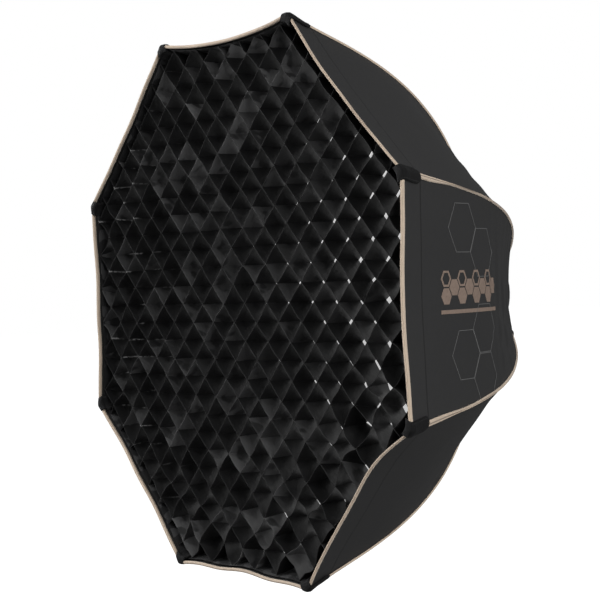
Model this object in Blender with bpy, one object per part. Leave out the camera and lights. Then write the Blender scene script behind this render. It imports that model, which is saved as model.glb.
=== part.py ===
"""Octagonal softbox wearing its fabric honeycomb grid, in metres.

The optical axis is Y: the light head's mount plane is y = 0, the softbox opens towards -Y, and +Z is up.
Corner 1 stands 22.5 degrees from +X towards +Z and the others follow every 45 degrees. Panel n lies between
corner n and corner n + 1, so panel 8 faces +X.
"""

import math

import bmesh
import bpy
from mathutils import Matrix, Vector

# ---------------------------------------------------------------- driving dimensions
GAP = 0.0003  # between pieces that touch

SIDES = 8
STEP = 2 * math.pi / SIDES
HALF_STEP = STEP / 2

# Shell. The seam curve is a cubic in (radius, y), from the rim to the collar.
RIM_RADIUS = 0.450
RIM_Y = -0.508
SEAM_CURVE = ((RIM_RADIUS, RIM_Y), (0.392, -0.360), (0.372, -0.168), (0.087, -0.030))
FABRIC = 0.0012
SEAM_GAP = 0.0007
EDGE_SAG = 0.007  # how far a front edge pulls in at its middle
SAG_END = 0.35  # share of the seam curve where that sag has died out
HOLLOW = 0.006  # how far a panel's middle hangs in between its ribs, further back
ROUNDING_START = 0.85  # share of the seam curve where the octagon starts to turn round
PANEL_STATIONS = 11
ACROSS = (0.0, 0.12, 0.38, 0.62, 0.88, 1.0)  # stations along a side, shared by all that follows the rim

# Honeycomb grid
CELL_PITCH = 0.041
GRID_FRONT = RIM_Y + 0.002
GRID_DEPTH = 0.040
GRID_REAR = GRID_FRONT + GRID_DEPTH
STRIP = 0.0006
BAND_INSET = 0.0012  # from the shell's inner face to the border band
BAND = 0.0015
TAPE_INSET = BAND_INSET + BAND + 0.0008
TAPE = 0.0010
STRIP_END_INSET = TAPE_INSET + TAPE / 2
TOOTH_END_INSET = TAPE_INSET + TAPE + 0.0010
SHORTEST_TOOTH = 0.0015

# Diffusers
DIFFUSER_FRONT = GRID_REAR + 0.0005
DIFFUSER = 0.0008
HEM_FRONT = DIFFUSER_FRONT + DIFFUSER + GAP
HEM_REAR = HEM_FRONT + 0.018
LIP_STATIONS = (GRID_FRONT, GRID_REAR, HEM_REAR)  # what lines the lip is straight between these
BAFFLE_Y = -0.258
BAFFLE_RADIUS = 0.300
BAFFLE_REACH = 0.334
BAFFLE_TAB = 0.014

# Ribs and their sockets
RIB_RADIUS = 0.0025
RIB_TIP = 0.004  # behind the rim
RIB_INSET_TIP = 0.005
RIB_INSET_ROOT = 0.0125
RIB_STRAIGHT_FROM = 0.965  # share of the seam curve
RIB_END_RADIUS = 0.0865
SOCKET_RADIUS = 0.006
SOCKET_LENGTH = 0.026
SOCKET_FOOT_RADIUS = 0.0835
SOCKET_BOTTOM_RADIUS = 0.0855
FOOT = (0.0062, 0.016, 0.017)  # radial, across, along Y

# Trim
POCKET_HALF_WIDTH = 0.012
POCKET_LENGTH = 0.050
POCKET_INNER_LENGTH = 0.016
POCKET_LIFT = 0.0005
POCKET_CLOTH = 0.0020
POCKET_INNER_OFFSET = 0.0085
BINDING_HALF_WIDTH = 0.004
BINDING_LIFT = 0.0012
BINDING_CLOTH = 0.0010
BINDING_END = 0.975
PIPING_RADIUS = 0.003
PIPING_LIFT = 0.0008  # ahead of the rim
PIPING_OUTSET = 0.0007  # its middle, out from the shell's outer face, so that the grid clears it
PIPING_END_GAP = 0.0050

# Rear hardware. Radii and y of each ring's faces.
RING_SEGMENTS = 48
RING_BORE = 0.062
RING_OUTER = 0.080
RING_FRONT = -0.056
RING_REAR = -0.0030
RECESS_RADIUS = 0.0745
RECESS_FRONT = -0.0205
INSERT_OPENING = 0.049
SPIGOT_RADIUS = 0.052
SPIGOT_REAR = 0.010
SEAT_INNER = 0.060
SEAT_OUTER = 0.070
JOURNAL_RADIUS = 0.0740
JOURNAL_BORE = 0.066
JOURNAL_FRONT = -0.0200
JOURNAL_REAR = -0.0035
PLATE = 0.004
LUG_RADIUS = 0.0585
LUG_FRONT = 0.0065
LUG_ANGLE = math.radians(32)
LUGS = 3
KEEPER_INNER = 0.0706
KEEPER_REAR = -0.0007
COLLAR_OUTER = 0.0850
COLLAR_Y = (-0.034, -0.024)

# Lock knob, on a radial axis halfway between two seams, 45 degrees below +X
LOCK_ANGLE = -STEP
LOCK_Y = -0.0115
BOSS_RADIUS = 0.0070
BOSS_TOP = 0.0862
STUD_RADIUS = 0.0030
STUD_BORE = 0.0034
KNOB_RADIUS = 0.0175
KNOB_BOTTOM = 0.0875
KNOB_HEIGHT = 0.0235
KNOB_LOBES = 6
LOBE_DEPTH = 0.0014


# ---------------------------------------------------------------- helpers
def clear_scene():
    for obj in list(bpy.data.objects):
        bpy.data.objects.remove(obj, do_unlink=True)


def make_material(name, colour, roughness, metallic=0.0):
    material = bpy.data.materials.new(name)
    material.use_nodes = True
    shader = material.node_tree.nodes["Principled BSDF"]
    shader.inputs["Base Color"].default_value = (*colour, 1.0)
    shader.inputs["Roughness"].default_value = roughness
    shader.inputs["Metallic"].default_value = metallic
    material.diffuse_color = (*colour, 1.0)
    return material


def loft(name, sections, ring=False, smooth_below=None):
    """A closed mesh through loops of equally many points. A ring joins its last loop to its first one."""
    bm = bmesh.new()
    loops = [[bm.verts.new(point) for point in section] for section in sections]
    pairs = list(zip(loops, loops[1:]))
    if ring:
        pairs.append((loops[-1], loops[0]))
    else:
        bm.faces.new(loops[0])
        bm.faces.new(reversed(loops[-1]))
    for first, second in pairs:
        for i in range(len(first)):
            j = (i + 1) % len(first)
            bm.faces.new((first[i], second[i], second[j], first[j]))
    bmesh.ops.recalc_face_normals(bm, faces=bm.faces)
    mesh = bpy.data.meshes.new(name)
    bm.to_mesh(mesh)
    bm.free()
    if smooth_below:
        mesh.shade_smooth()
        mesh.set_sharp_from_angle(angle=math.radians(smooth_below))
    return mesh


def place(name, data, material, parent=None, matrix=None):
    obj = bpy.data.objects.new(name, data)
    bpy.context.scene.collection.objects.link(obj)
    if not data.materials:
        data.materials.append(material)
    obj.parent = parent
    if matrix:
        obj.matrix_basis = matrix
    return obj


def turned(angle):
    """Turns +X towards +Z by this angle, about the optical axis."""
    return Matrix.Rotation(-angle, 4, "Y")


def place_round(name, data, material, parent, first_angle):
    """One object for each of the eight corners or sides, sharing its mesh."""
    for i in range(SIDES):
        place(f"{name}_{i + 1}", data, material, parent, turned(first_angle + i * STEP))


def combined(name, base, tools, smooth_below=None):
    """The mesh left when each (operation, mesh) is applied to the base in turn."""
    obj = bpy.data.objects.new(name, base)
    bpy.context.scene.collection.objects.link(obj)
    helpers = [obj]
    for operation, mesh in tools:
        helper = bpy.data.objects.new(mesh.name + "_helper", mesh)
        helper.hide_render = True
        helper.display_type = "WIRE"
        bpy.context.scene.collection.objects.link(helper)
        helpers.append(helper)
        modifier = obj.modifiers.new(operation, "BOOLEAN")
        modifier.operation = operation
        modifier.solver = "EXACT"
        modifier.object = helper
    bpy.context.view_layer.update()
    evaluated = obj.evaluated_get(bpy.context.evaluated_depsgraph_get())
    result = bpy.data.meshes.new_from_object(evaluated)
    for helper in helpers:
        bpy.data.objects.remove(helper, do_unlink=True)
    result.name = name
    if smooth_below:
        result.shade_smooth()
        result.set_sharp_from_angle(angle=math.radians(smooth_below))
    return result


def spread(first, last, count):
    return [first + (last - first) * i / (count - 1) for i in range(count)]


def polar(radius, angle, y):
    return Vector((radius * math.cos(angle), y, radius * math.sin(angle)))


def turned_ring(name, outline, segments=RING_SEGMENTS):
    """A closed outline of (radius, y) points, turned about the optical axis."""
    angles = [2 * math.pi * i / segments for i in range(segments)]
    sections = [[polar(radius, angle, y) for radius, y in outline] for angle in angles]
    return loft(name, sections, ring=True, smooth_below=30)


def ring_band(name, inner, outer, front, rear):
    return turned_ring(name, [(inner, front), (outer, front), (outer, rear), (inner, rear)])


def cylinder_between(name, start, end, radius, sides=16):
    """A round bar from start to end."""
    along = (end - start).normalized()
    across = along.orthogonal().normalized()
    other = along.cross(across)
    angles = [2 * math.pi * i / sides for i in range(sides)]
    circle = [radius * (math.cos(a) * across + math.sin(a) * other) for a in angles]
    return loft(name, [[start + p for p in circle], [end + p for p in circle]], smooth_below=40)


def block(name, low, high):
    xs, ys, zs = zip(low, high)
    loops = [[Vector((xs[i], ys[j], z)) for i, j in ((0, 0), (1, 0), (1, 1), (0, 1))] for z in zs]
    return loft(name, loops)


# ---------------------------------------------------------------- the seam curve
def seam(t):
    """(radius, y) on the seam curve and its unit tangent, towards the rear."""
    a, b, c, d = (Vector(point) for point in SEAM_CURVE)
    s = 1 - t
    point = s**3 * a + 3 * s * s * t * b + 3 * s * t * t * c + t**3 * d
    slope = s * s * (b - a) + 2 * s * t * (c - b) + t * t * (d - c)
    return point, slope.normalized()


def seam_offset(t, outward):
    """A point that far outside the seam curve, square to it."""
    point, (dr, dy) = seam(t)
    return point + outward * Vector((dy, -dr))


def seam_share(y):
    """The share of the seam curve that lies ahead of this y."""
    low, high = 0.0, 1.0
    for _ in range(40):
        middle = (low + high) / 2
        if seam(middle)[0][1] < y:
            low = middle
        else:
            high = middle
    return low


def pull_in(t, u):
    """How far a panel stands in from its chord: its front edge sags, and further back it hollows between its ribs."""
    edge = EDGE_SAG * max(0.0, 1 - t / SAG_END) ** 2
    hollow = HOLLOW * math.sin(math.pi * max(0.0, t - SAG_END) / (1 - SAG_END)) ** 2
    return (edge + hollow) * 4 * u * (1 - u)


def rounding(t):
    """0 where the shell's section is an octagon, 1 where it is round."""
    share = min(1.0, max(0.0, (t - ROUNDING_START) / (1 - ROUNDING_START)))
    return share * share * (3 - 2 * share)


# ---------------------------------------------------------------- shell and trim
def panel_point(t, u, depth):
    """A point of the panel that faces +X, this far inside its outer face."""
    (radius, y), (dr, dy) = seam(t)
    pull = SEAM_GAP / (2 * radius * math.sin(HALF_STEP))
    u_cut = pull + u * (1 - 2 * pull)
    flat = radius * math.cos(HALF_STEP)
    across = (2 * u_cut - 1) * radius * math.sin(HALF_STEP)
    chord = Vector((flat - pull_in(t, u), 0, across))
    share = rounding(t)
    point = chord * (1 + share * (radius / chord.length - 1))
    outwards = Vector((1, 0, 0)).lerp(chord.normalized(), share).normalized()
    normal = (dy * outwards + Vector((0, -dr * math.cos(HALF_STEP), 0))).normalized()
    return point + Vector((0, y, 0)) - depth * normal


def make_panel():
    sections = []
    for t in spread(0, 1, PANEL_STATIONS):
        outer = [panel_point(t, u, 0) for u in ACROSS]
        inner = [panel_point(t, u, FABRIC) for u in reversed(ACROSS)]
        sections.append(outer + inner)
    return loft("shell_panel", sections, smooth_below=25)


def chevron(point, half_width, fold):
    """(radius, y) spread to three stations across a corner, following the two panels that meet there."""
    radius, y = point
    return [Vector((radius - abs(w) * math.tan(fold), y, w)) for w in (-half_width, 0, half_width)]


def make_binding():
    """The binding over a seam, on the corner that faces +X."""
    start = seam_share(RIM_Y + POCKET_LENGTH + 0.002)
    sections = []
    for t in spread(start, BINDING_END, 13):
        fold = HALF_STEP * (1 - rounding(t))
        under = chevron(seam_offset(t, BINDING_LIFT), BINDING_HALF_WIDTH, fold)
        over = chevron(seam_offset(t, BINDING_LIFT + BINDING_CLOTH), BINDING_HALF_WIDTH, fold)
        sections.append(under + over[::-1])
    return loft("seam_binding", sections, smooth_below=40)


def make_pocket():
    """A tip pocket: it runs along the outside of the seam, round the rim and back inside the rib's tip."""
    front = RIM_Y - POCKET_LIFT
    back = spread(seam_share(RIM_Y + POCKET_LENGTH), 0, 4)
    inner_end = seam_share(RIM_Y + POCKET_INNER_LENGTH)
    far_inside = POCKET_INNER_OFFSET + POCKET_CLOTH
    outline = [seam_offset(t, POCKET_LIFT + POCKET_CLOTH) for t in back]
    outline.append(Vector((RIM_RADIUS + POCKET_CLOTH, front - POCKET_CLOTH)))
    outline.append(Vector((RIM_RADIUS - far_inside, front - POCKET_CLOTH)))
    outline.append(seam_offset(inner_end, -far_inside))
    outline.append(seam_offset(inner_end, -POCKET_INNER_OFFSET))
    outline.append(Vector((RIM_RADIUS - POCKET_INNER_OFFSET, front)))
    outline.append(Vector((RIM_RADIUS + POCKET_LIFT, front)))
    outline += [seam_offset(t, POCKET_LIFT) for t in back[::-1][1:]]
    stations = [chevron(point, POCKET_HALF_WIDTH, HALF_STEP) for point in outline]
    return loft("corner_pocket", list(zip(*stations)))


def tube_curve(name, points, radius, resolution):
    curve = bpy.data.curves.new(name, "CURVE")
    curve.dimensions = "3D"
    spline = curve.splines.new("POLY")
    spline.points.add(len(points) - 1)
    for target, point in zip(spline.points, points):
        target.co = (*point, 1.0)
    curve.bevel_depth = radius
    curve.bevel_resolution = resolution
    curve.use_fill_caps = True
    return curve


def make_piping():
    """The cord along the front edge that faces +X, between its two tip pockets."""
    length = 2 * RIM_RADIUS * math.sin(HALF_STEP)
    end = (POCKET_HALF_WIDTH + PIPING_END_GAP) / length
    centre_y = RIM_Y - PIPING_RADIUS - PIPING_LIFT
    points = []
    for u in spread(end, 1 - end, 9):
        out = RIM_RADIUS * math.cos(HALF_STEP) - pull_in(0, u) + PIPING_OUTSET
        points.append(Vector((out, centre_y, (u - 0.5) * length)))
    return tube_curve("rim_piping", points, PIPING_RADIUS, 1)


# ---------------------------------------------------------------- ribs and sockets
def rib_centre(t):
    inset = RIB_INSET_TIP + (RIB_INSET_ROOT - RIB_INSET_TIP) * t * t
    return seam_offset(t, -inset)


def rib_root():
    """Where a rib turns straight, and the direction in which it then runs into its socket."""
    return rib_centre(RIB_STRAIGHT_FROM), seam(RIB_STRAIGHT_FROM)[1]


def on_root_line(radius):
    start, along = rib_root()
    point = start + along * (radius - start[0]) / along[0]
    return Vector((point[0], point[1], 0))


def make_rib():
    tip = seam_share(RIM_Y + RIB_TIP)
    path = [rib_centre(t) for t in spread(tip, RIB_STRAIGHT_FROM, 14)]
    points = [Vector((radius, y, 0)) for radius, y in path]
    points.append(on_root_line(RIB_END_RADIUS))
    return tube_curve("rib", points, RIB_RADIUS, 1)


def make_socket():
    """A socket on the corner that faces +X: a foot on the speed ring and a barrel with a blind bore."""
    bottom = on_root_line(SOCKET_FOOT_RADIUS)
    outwards = (on_root_line(SOCKET_FOOT_RADIUS + 0.01) - bottom).normalized()
    mouth = bottom + outwards * SOCKET_LENGTH
    barrel = cylinder_between("barrel", bottom, mouth, SOCKET_RADIUS, 12)
    bore = cylinder_between(
        "bore", on_root_line(SOCKET_BOTTOM_RADIUS), mouth + outwards * 0.005, RIB_RADIUS + GAP, 8
    )
    inner = RING_OUTER + GAP
    front = bottom.y - FOOT[2] / 2 - 0.003
    foot = block(
        "foot", (inner, front, -FOOT[1] / 2), (inner + FOOT[0], front + FOOT[2], FOOT[1] / 2)
    )
    return combined("rib_socket", foot, [("UNION", barrel), ("DIFFERENCE", bore)], smooth_below=35)


# ---------------------------------------------------------------- honeycomb grid
def wall_outline(y, inset):
    """The shell's inner wall at this y, moved inwards, as (x, z) points with a short cut across each corner."""
    t = seam_share(y)
    (radius, _), (dr, dy) = seam(t)
    wall = FABRIC / dy
    outline = []
    for side in range(SIDES):
        angle = side * STEP
        for u in ACROSS[1:-1]:
            out = radius * math.cos(HALF_STEP) - wall - inset - pull_in(t, u)
            across = (2 * u - 1) * radius * math.sin(HALF_STEP)
            point = turned(angle) @ Vector((out, 0, across))
            outline.append(Vector((point.x, point.z)))
    return outline


def lip_outline(y, inset):
    """The wall's outline at this y, on the straight lines between the lip's stations."""
    front, rear = LIP_STATIONS[:2] if y <= GRID_REAR else LIP_STATIONS[1:]
    share = (y - front) / (rear - front)
    pairs = zip(wall_outline(front, inset), wall_outline(rear, inset))
    return [first.lerp(second, share) for first, second in pairs]


def lip_ring(name, front, rear, inset, thickness):
    """A band that follows the lip from front to rear."""
    corners = [
        lip_outline(front, inset),
        lip_outline(front, inset + thickness),
        lip_outline(rear, inset + thickness),
        lip_outline(rear, inset),
    ]
    levels = (front, front, rear, rear)
    sections = [
        [Vector((points[i][0], y, points[i][1])) for points, y in zip(corners, levels)]
        for i in range(len(corners[0]))
    ]
    return loft(name, sections, ring=True)


def span(outline, along, offset):
    """The first and last place where the line at this offset, in direction along, meets the outline."""
    across = (-along[1], along[0])
    found = []
    for (x0, z0), (x1, z1) in zip(outline, outline[1:] + outline[:1]):
        d0 = x0 * across[0] + z0 * across[1] - offset
        d1 = x1 * across[0] + z1 * across[1] - offset
        if (d0 < 0) != (d1 < 0):
            share = d0 / (d0 - d1)
            x = x0 + share * (x1 - x0)
            z = z0 + share * (z1 - z0)
            found.append(x * along[0] + z * along[1])
    return min(found), max(found)


def strip_offsets():
    widest = RIM_RADIUS * math.cos(HALF_STEP) - EDGE_SAG - TOOTH_END_INSET - 2 * FABRIC
    count = int(widest / CELL_PITCH + 0.5)
    return [(k + 0.5) * CELL_PITCH for k in range(-count, count)]


def strip_outline(along, offset, plain_edge, cut_edge, plain_middle, cut_middle):
    """(s, y) outline of one strip: whole from its plain edge to the middle, and slotted from its cut edge."""
    first, last = span(lip_outline(plain_edge, STRIP_END_INSET), along, offset)
    outline = [(first, plain_edge), (last, plain_edge)]
    first, last = span(lip_outline(plain_middle, STRIP_END_INSET), along, offset)
    outline.append((last, plain_middle))
    left_end, right_end = span(lip_outline(cut_middle, TOOTH_END_INSET), along, offset)
    left_tip, right_tip = span(lip_outline(cut_edge, TOOTH_END_INSET), along, offset)
    half_slot = STRIP / 2 + GAP
    starts = [-math.inf] + [s + half_slot for s in strip_offsets()]
    ends = [s - half_slot for s in strip_offsets()] + [math.inf]
    for start, end in sorted(zip(starts, ends), reverse=True):
        low, low_tip = max(start, left_end), max(start, left_tip)
        high, high_tip = min(end, right_end), min(end, right_tip)
        if min(high, high_tip) - max(low, low_tip) > SHORTEST_TOOTH:
            outline += [(high, plain_middle), (high_tip, cut_edge), (low_tip, cut_edge), (low, plain_middle)]
    outline.append((first, plain_middle))
    return outline


def make_strip_family(name, along, plain_edge, cut_edge):
    """All strips of one direction and the tape that joins their ends, as one piece."""
    middle = (plain_edge + cut_edge) / 2
    towards_plain = math.copysign(GAP / 2, plain_edge - cut_edge)
    plain_middle = middle + towards_plain
    cut_middle = middle - towards_plain
    run = Vector((along[0], 0, along[1]))
    side = Vector((-along[1], 0, along[0]))
    strips = bmesh.new()
    for offset in strip_offsets():
        outline = strip_outline(along, offset, plain_edge, cut_edge, plain_middle, cut_middle)
        faces = []
        for shift in (-STRIP / 2, STRIP / 2):
            middle_line = side * (offset + shift)
            faces.append([middle_line + run * s + Vector((0, y, 0)) for s, y in outline])
        piece = loft(name + "_strip", faces)
        strips.from_mesh(piece)
        bpy.data.meshes.remove(piece)
    mesh = bpy.data.meshes.new(name + "_strips")
    strips.to_mesh(mesh)
    strips.free()
    front, rear = sorted((plain_edge, plain_middle))
    tape = lip_ring(name + "_tape", front, rear, TAPE_INSET, TAPE)
    return combined(name, tape, [("UNION", mesh)])


# ---------------------------------------------------------------- diffusers
def flat_plate(name, outline, front, rear):
    return loft(name, [[Vector((x, y, z)) for x, z in outline] for y in (front, rear)])


def make_diffuser():
    rear = DIFFUSER_FRONT + DIFFUSER
    return flat_plate("front_diffuser", lip_outline(rear, BAND_INSET), DIFFUSER_FRONT, rear)


def make_baffle():
    """A flat octagon with a tab from each corner to its rib."""
    outline = []
    for corner in range(SIDES):
        angle = HALF_STEP + corner * STEP
        half = BAFFLE_TAB / 2
        root = BAFFLE_RADIUS - half * math.tan(HALF_STEP)
        for out, across in ((root, -half), (BAFFLE_REACH, -half), (BAFFLE_REACH, half), (root, half)):
            point = turned(angle) @ Vector((out, 0, across))
            outline.append((point.x, point.z))
    return flat_plate("inner_baffle", outline, BAFFLE_Y, BAFFLE_Y + DIFFUSER)


# ---------------------------------------------------------------- rear hardware
def make_speed_ring():
    outline = [
        (RING_BORE, RING_FRONT),
        (RING_OUTER, RING_FRONT),
        (RING_OUTER, RING_REAR),
        (RECESS_RADIUS, RING_REAR),
        (RECESS_RADIUS, RECESS_FRONT),
        (RING_BORE, RECESS_FRONT),
    ]
    ring = turned_ring("speed_ring_body", outline)
    boss = cylinder_between("boss", lock_point(RING_OUTER - 0.003), lock_point(BOSS_TOP), BOSS_RADIUS)
    bore = cylinder_between("stud_bore", lock_point(RING_BORE), lock_point(BOSS_TOP + 0.01), STUD_BORE)
    return combined("speed_ring", ring, [("UNION", boss), ("DIFFERENCE", bore)], smooth_below=30)


def make_insert():
    """The bayonet insert: a journal that turns in the speed ring, a seat for the light head, and a spigot."""
    outline = [
        (INSERT_OPENING, -PLATE),
        (JOURNAL_BORE, -PLATE),
        (JOURNAL_BORE, JOURNAL_FRONT),
        (JOURNAL_RADIUS, JOURNAL_FRONT),
        (JOURNAL_RADIUS, JOURNAL_REAR),
        (SEAT_OUTER, JOURNAL_REAR),
        (SEAT_OUTER, 0),
        (SEAT_INNER, 0),
        (SEAT_INNER, -0.001),
        (SPIGOT_RADIUS, -0.001),
        (SPIGOT_RADIUS, SPIGOT_REAR),
        (INSERT_OPENING, SPIGOT_REAR),
    ]
    body = turned_ring("insert_body", outline)
    lugs = []
    for i in range(LUGS):
        middle = 2 * math.pi * i / LUGS + math.pi / 2
        angles = spread(middle - LUG_ANGLE / 2, middle + LUG_ANGLE / 2, 6)
        inner = (INSERT_OPENING + SPIGOT_RADIUS) / 2
        corners = (
            (inner, LUG_FRONT),
            (LUG_RADIUS, LUG_FRONT),
            (LUG_RADIUS, SPIGOT_REAR - 0.0005),
            (inner, SPIGOT_REAR - 0.0005),
        )
        sections = [[polar(radius, angle, y) for radius, y in corners] for angle in angles]
        lugs.append(("UNION", loft(f"lug_{i}", sections)))
    return combined("mount_insert", body, lugs, smooth_below=30)


def lock_point(radius):
    return polar(radius, LOCK_ANGLE, LOCK_Y)


def lock_frame():
    """An empty on the lock's axis, its local X along that axis, away from the rings."""
    empty = bpy.data.objects.new("lock_axis", None)
    bpy.context.scene.collection.objects.link(empty)
    empty.matrix_basis = Matrix.Translation((0, LOCK_Y, 0)) @ turned(LOCK_ANGLE)
    return empty


def make_knob():
    """A lobed grip whose rims are eased, built along its own X axis."""
    points = KNOB_LOBES * 6
    top = KNOB_BOTTOM + KNOB_HEIGHT
    levels = (
        (KNOB_BOTTOM, 0.62),
        (KNOB_BOTTOM + 0.0030, 0.78),
        (KNOB_BOTTOM + 0.0060, 1.00),
        (top - 0.0030, 1.00),
        (top - 0.0008, 0.93),
        (top, 0.80),
    )
    sections = []
    for x, scale in levels:
        loop = []
        for i in range(points):
            angle = 2 * math.pi * i / points
            radius = scale * (KNOB_RADIUS - LOBE_DEPTH * (1 - math.cos(KNOB_LOBES * angle)) / 2)
            loop.append(Vector((x, radius * math.cos(angle), radius * math.sin(angle))))
        sections.append(loop)
    return loft("lock_knob", sections, smooth_below=35)


def make_stud():
    start = Vector((JOURNAL_RADIUS + GAP, 0, 0))
    end = Vector((KNOB_BOTTOM - GAP, 0, 0))
    return cylinder_between("lock_stud", start, end, STUD_RADIUS, 12)


# ---------------------------------------------------------------- assembly
def body_empty(name, parent=None):
    empty = bpy.data.objects.new(name, None)
    bpy.context.scene.collection.objects.link(empty)
    empty.parent = parent
    return empty


def build():
    clear_scene()
    shell_cloth = make_material("shell_cloth", (0.030, 0.030, 0.032), 0.85)
    webbing = make_material("webbing", (0.012, 0.012, 0.013), 0.90)
    tan_trim = make_material("tan_trim", (0.560, 0.430, 0.340), 0.75)
    grid_cloth = make_material("grid_cloth", (0.015, 0.015, 0.016), 0.55)
    hook_tape = make_material("hook_tape", (0.020, 0.020, 0.020), 0.95)
    white_cloth = make_material("white_cloth", (0.850, 0.850, 0.840), 0.80)
    spring_steel = make_material("spring_steel", (0.420, 0.420, 0.430), 0.35, 1.0)
    black_metal = make_material("black_metal", (0.025, 0.025, 0.027), 0.45, 0.6)
    bare_metal = make_material("bare_metal", (0.620, 0.620, 0.630), 0.35, 1.0)
    black_plastic = make_material("black_plastic", (0.020, 0.018, 0.016), 0.50)

    mount = body_empty("mount_body")
    softbox = body_empty("softbox_body", mount)
    baffle = body_empty("baffle_body", softbox)
    diffuser = body_empty("diffuser_body", baffle)
    grid = body_empty("grid_body", diffuser)
    lock = lock_frame()

    place_round("shell_panel", make_panel(), shell_cloth, softbox, STEP)
    place_round("rib", make_rib(), spring_steel, softbox, HALF_STEP)
    place_round("rib_socket", make_socket(), black_metal, softbox, HALF_STEP)
    place_round("corner_pocket", make_pocket(), webbing, softbox, HALF_STEP)
    place_round("seam_binding", make_binding(), tan_trim, softbox, HALF_STEP)
    place_round("rim_piping", make_piping(), tan_trim, softbox, STEP)

    slope = math.sqrt(0.5)
    rising = make_strip_family("grid_strips_rising", (slope, slope), GRID_REAR, GRID_FRONT)
    falling = make_strip_family("grid_strips_falling", (slope, -slope), GRID_FRONT, GRID_REAR)
    place("grid_strips_rising", rising, grid_cloth, grid)
    place("grid_strips_falling", falling, grid_cloth, grid)
    band = lip_ring("grid_border_band", GRID_FRONT, GRID_REAR, BAND_INSET, BAND)
    place("grid_border_band", band, hook_tape, grid)

    place("front_diffuser", make_diffuser(), white_cloth, diffuser)
    hem = lip_ring("diffuser_hem_band", HEM_FRONT, HEM_REAR, BAND_INSET, BAND)
    place("diffuser_hem_band", hem, hook_tape, diffuser)
    place("inner_baffle", make_baffle(), white_cloth, baffle)

    place("speed_ring", make_speed_ring(), black_metal, softbox)
    keeper = ring_band("retaining_ring", KEEPER_INNER, RING_OUTER, RING_REAR + GAP, KEEPER_REAR)
    place("retaining_ring", keeper, black_metal, softbox)
    collar = ring_band("rear_collar", RING_OUTER + GAP, COLLAR_OUTER, *COLLAR_Y)
    place("rear_collar", collar, webbing, softbox)
    place("mount_insert", make_insert(), bare_metal, mount)

    lock.parent = softbox
    place("lock_knob", make_knob(), black_plastic, lock)
    place("lock_stud", make_stud(), bare_metal, lock)


build()
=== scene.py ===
import math

import bpy
import numpy as np
from mathutils import Matrix, Vector


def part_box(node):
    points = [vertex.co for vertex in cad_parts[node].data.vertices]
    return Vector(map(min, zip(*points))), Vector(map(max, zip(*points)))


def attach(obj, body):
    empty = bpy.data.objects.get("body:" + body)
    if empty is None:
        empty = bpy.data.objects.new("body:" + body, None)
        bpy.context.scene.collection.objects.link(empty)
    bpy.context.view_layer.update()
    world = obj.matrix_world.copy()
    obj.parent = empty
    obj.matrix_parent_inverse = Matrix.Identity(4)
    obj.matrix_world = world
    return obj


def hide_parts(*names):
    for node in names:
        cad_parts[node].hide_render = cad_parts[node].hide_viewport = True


# Looks of an octagonal softbox that wears a fabric honeycomb grid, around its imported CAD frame. Metres.
# The optical axis is Y and the softbox opens towards -Y. Corner n stands at 22.5 + 45 (n - 1) degrees from +X
# towards +Z, and side n lies between corners n and n + 1, so side 8 faces +X and side 2 faces +Z.

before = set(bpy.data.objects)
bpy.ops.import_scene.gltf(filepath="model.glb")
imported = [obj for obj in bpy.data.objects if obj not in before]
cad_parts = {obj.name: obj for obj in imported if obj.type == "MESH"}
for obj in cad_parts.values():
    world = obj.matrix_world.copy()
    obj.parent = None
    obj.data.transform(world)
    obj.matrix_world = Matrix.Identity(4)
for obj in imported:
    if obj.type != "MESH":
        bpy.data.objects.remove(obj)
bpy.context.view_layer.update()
RNG = np.random.default_rng(8)

# ---------------------------------------------------------------- driving dimensions
SIDES = 8
TURN = 2 * math.pi
STEP = TURN / SIDES
HALF = STEP / 2
RIM_RADIUS, RIM_Y = 0.450, -0.508
# A seam's cubic curve, as (radius, y) from the rim to the rear
SEAM_CURVE = np.array([(RIM_RADIUS, RIM_Y), (0.392, -0.360), (0.372, -0.168), (0.087, -0.030)])
CLOTH = 0.0009  # thickness of the shell's cloth
SAG_END = 0.35  # share of the seam curve where the pull of the front edge has died out
ROUNDING_START = 0.85  # share of the seam curve where the panels start to turn round
HOLLOW = 0.006  # how far a panel hangs in between its ribs, behind the pull of its front edge
HEM = 0.042  # from the rim to the hem's stitching
LIP_GAP = 0.0012  # from the outside of the shell to the first thing that lines its lip

PIPING, PIPING_END = 0.0026, 0.010  # the cord's radius, and where it stops short of a corner
DEEP_PIPING = {1: 0.0017, 7: 0.0020}  # cords that sit deeper in their fold
TAPE_HALF = 0.0014  # half the width of the tape over a seam
FLAT_TAPE_HALF = {7: 0.0030, 8: 0.0021}  # seams whose tape lies flatter
POCKET_LENGTH, POCKET_HALF = 0.040, 0.0118  # its reach down the seam, and half its width
POCKET_OUTSIDE, POCKET_INSIDE = RIM_RADIUS + 0.0012, RIM_RADIUS - 0.0105
COLLAR_INNER, COLLAR_OUTER = 0.0806, 0.0866

CELL = 0.041  # side of a square cell
GRID_FRONT, GRID_REAR = RIM_Y + 0.002, RIM_Y + 0.042
STRIP = 0.0006  # thickness of a strip
BAND_INSET, BAND = 0.0020, 0.0013  # from the lip to the band, and the band's thickness
STRIP_END_INSET = 0.0036  # from the lip to the ends of the strips
TAPE_WIDTH = GRID_REAR - GRID_FRONT
STRIP_GAP = 0.0002  # how far each direction of strips stands from the middle of the crossings, along the axis
DIFFUSER_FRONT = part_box("front_diffuser")[0].y
DIFFUSER_INSET = 0.0024  # from the lip to the edge of the cloth
HEM_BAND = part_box("diffuser_hem_band")
BAFFLE_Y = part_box("inner_baffle")[0].y
BAFFLE_RADIUS, BAFFLE_REACH, BAFFLE_TAB = 0.300, 0.334, 0.014
BAFFLE_SCALLOP = 0.008  # how far the middle of each side of the baffle pulls in
KNOB_RADIUS, KNOB_SEAT = 0.0175, 0.0875  # its seat stands this far from the optical axis
SCREW_CIRCLE = 0.0750
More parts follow.
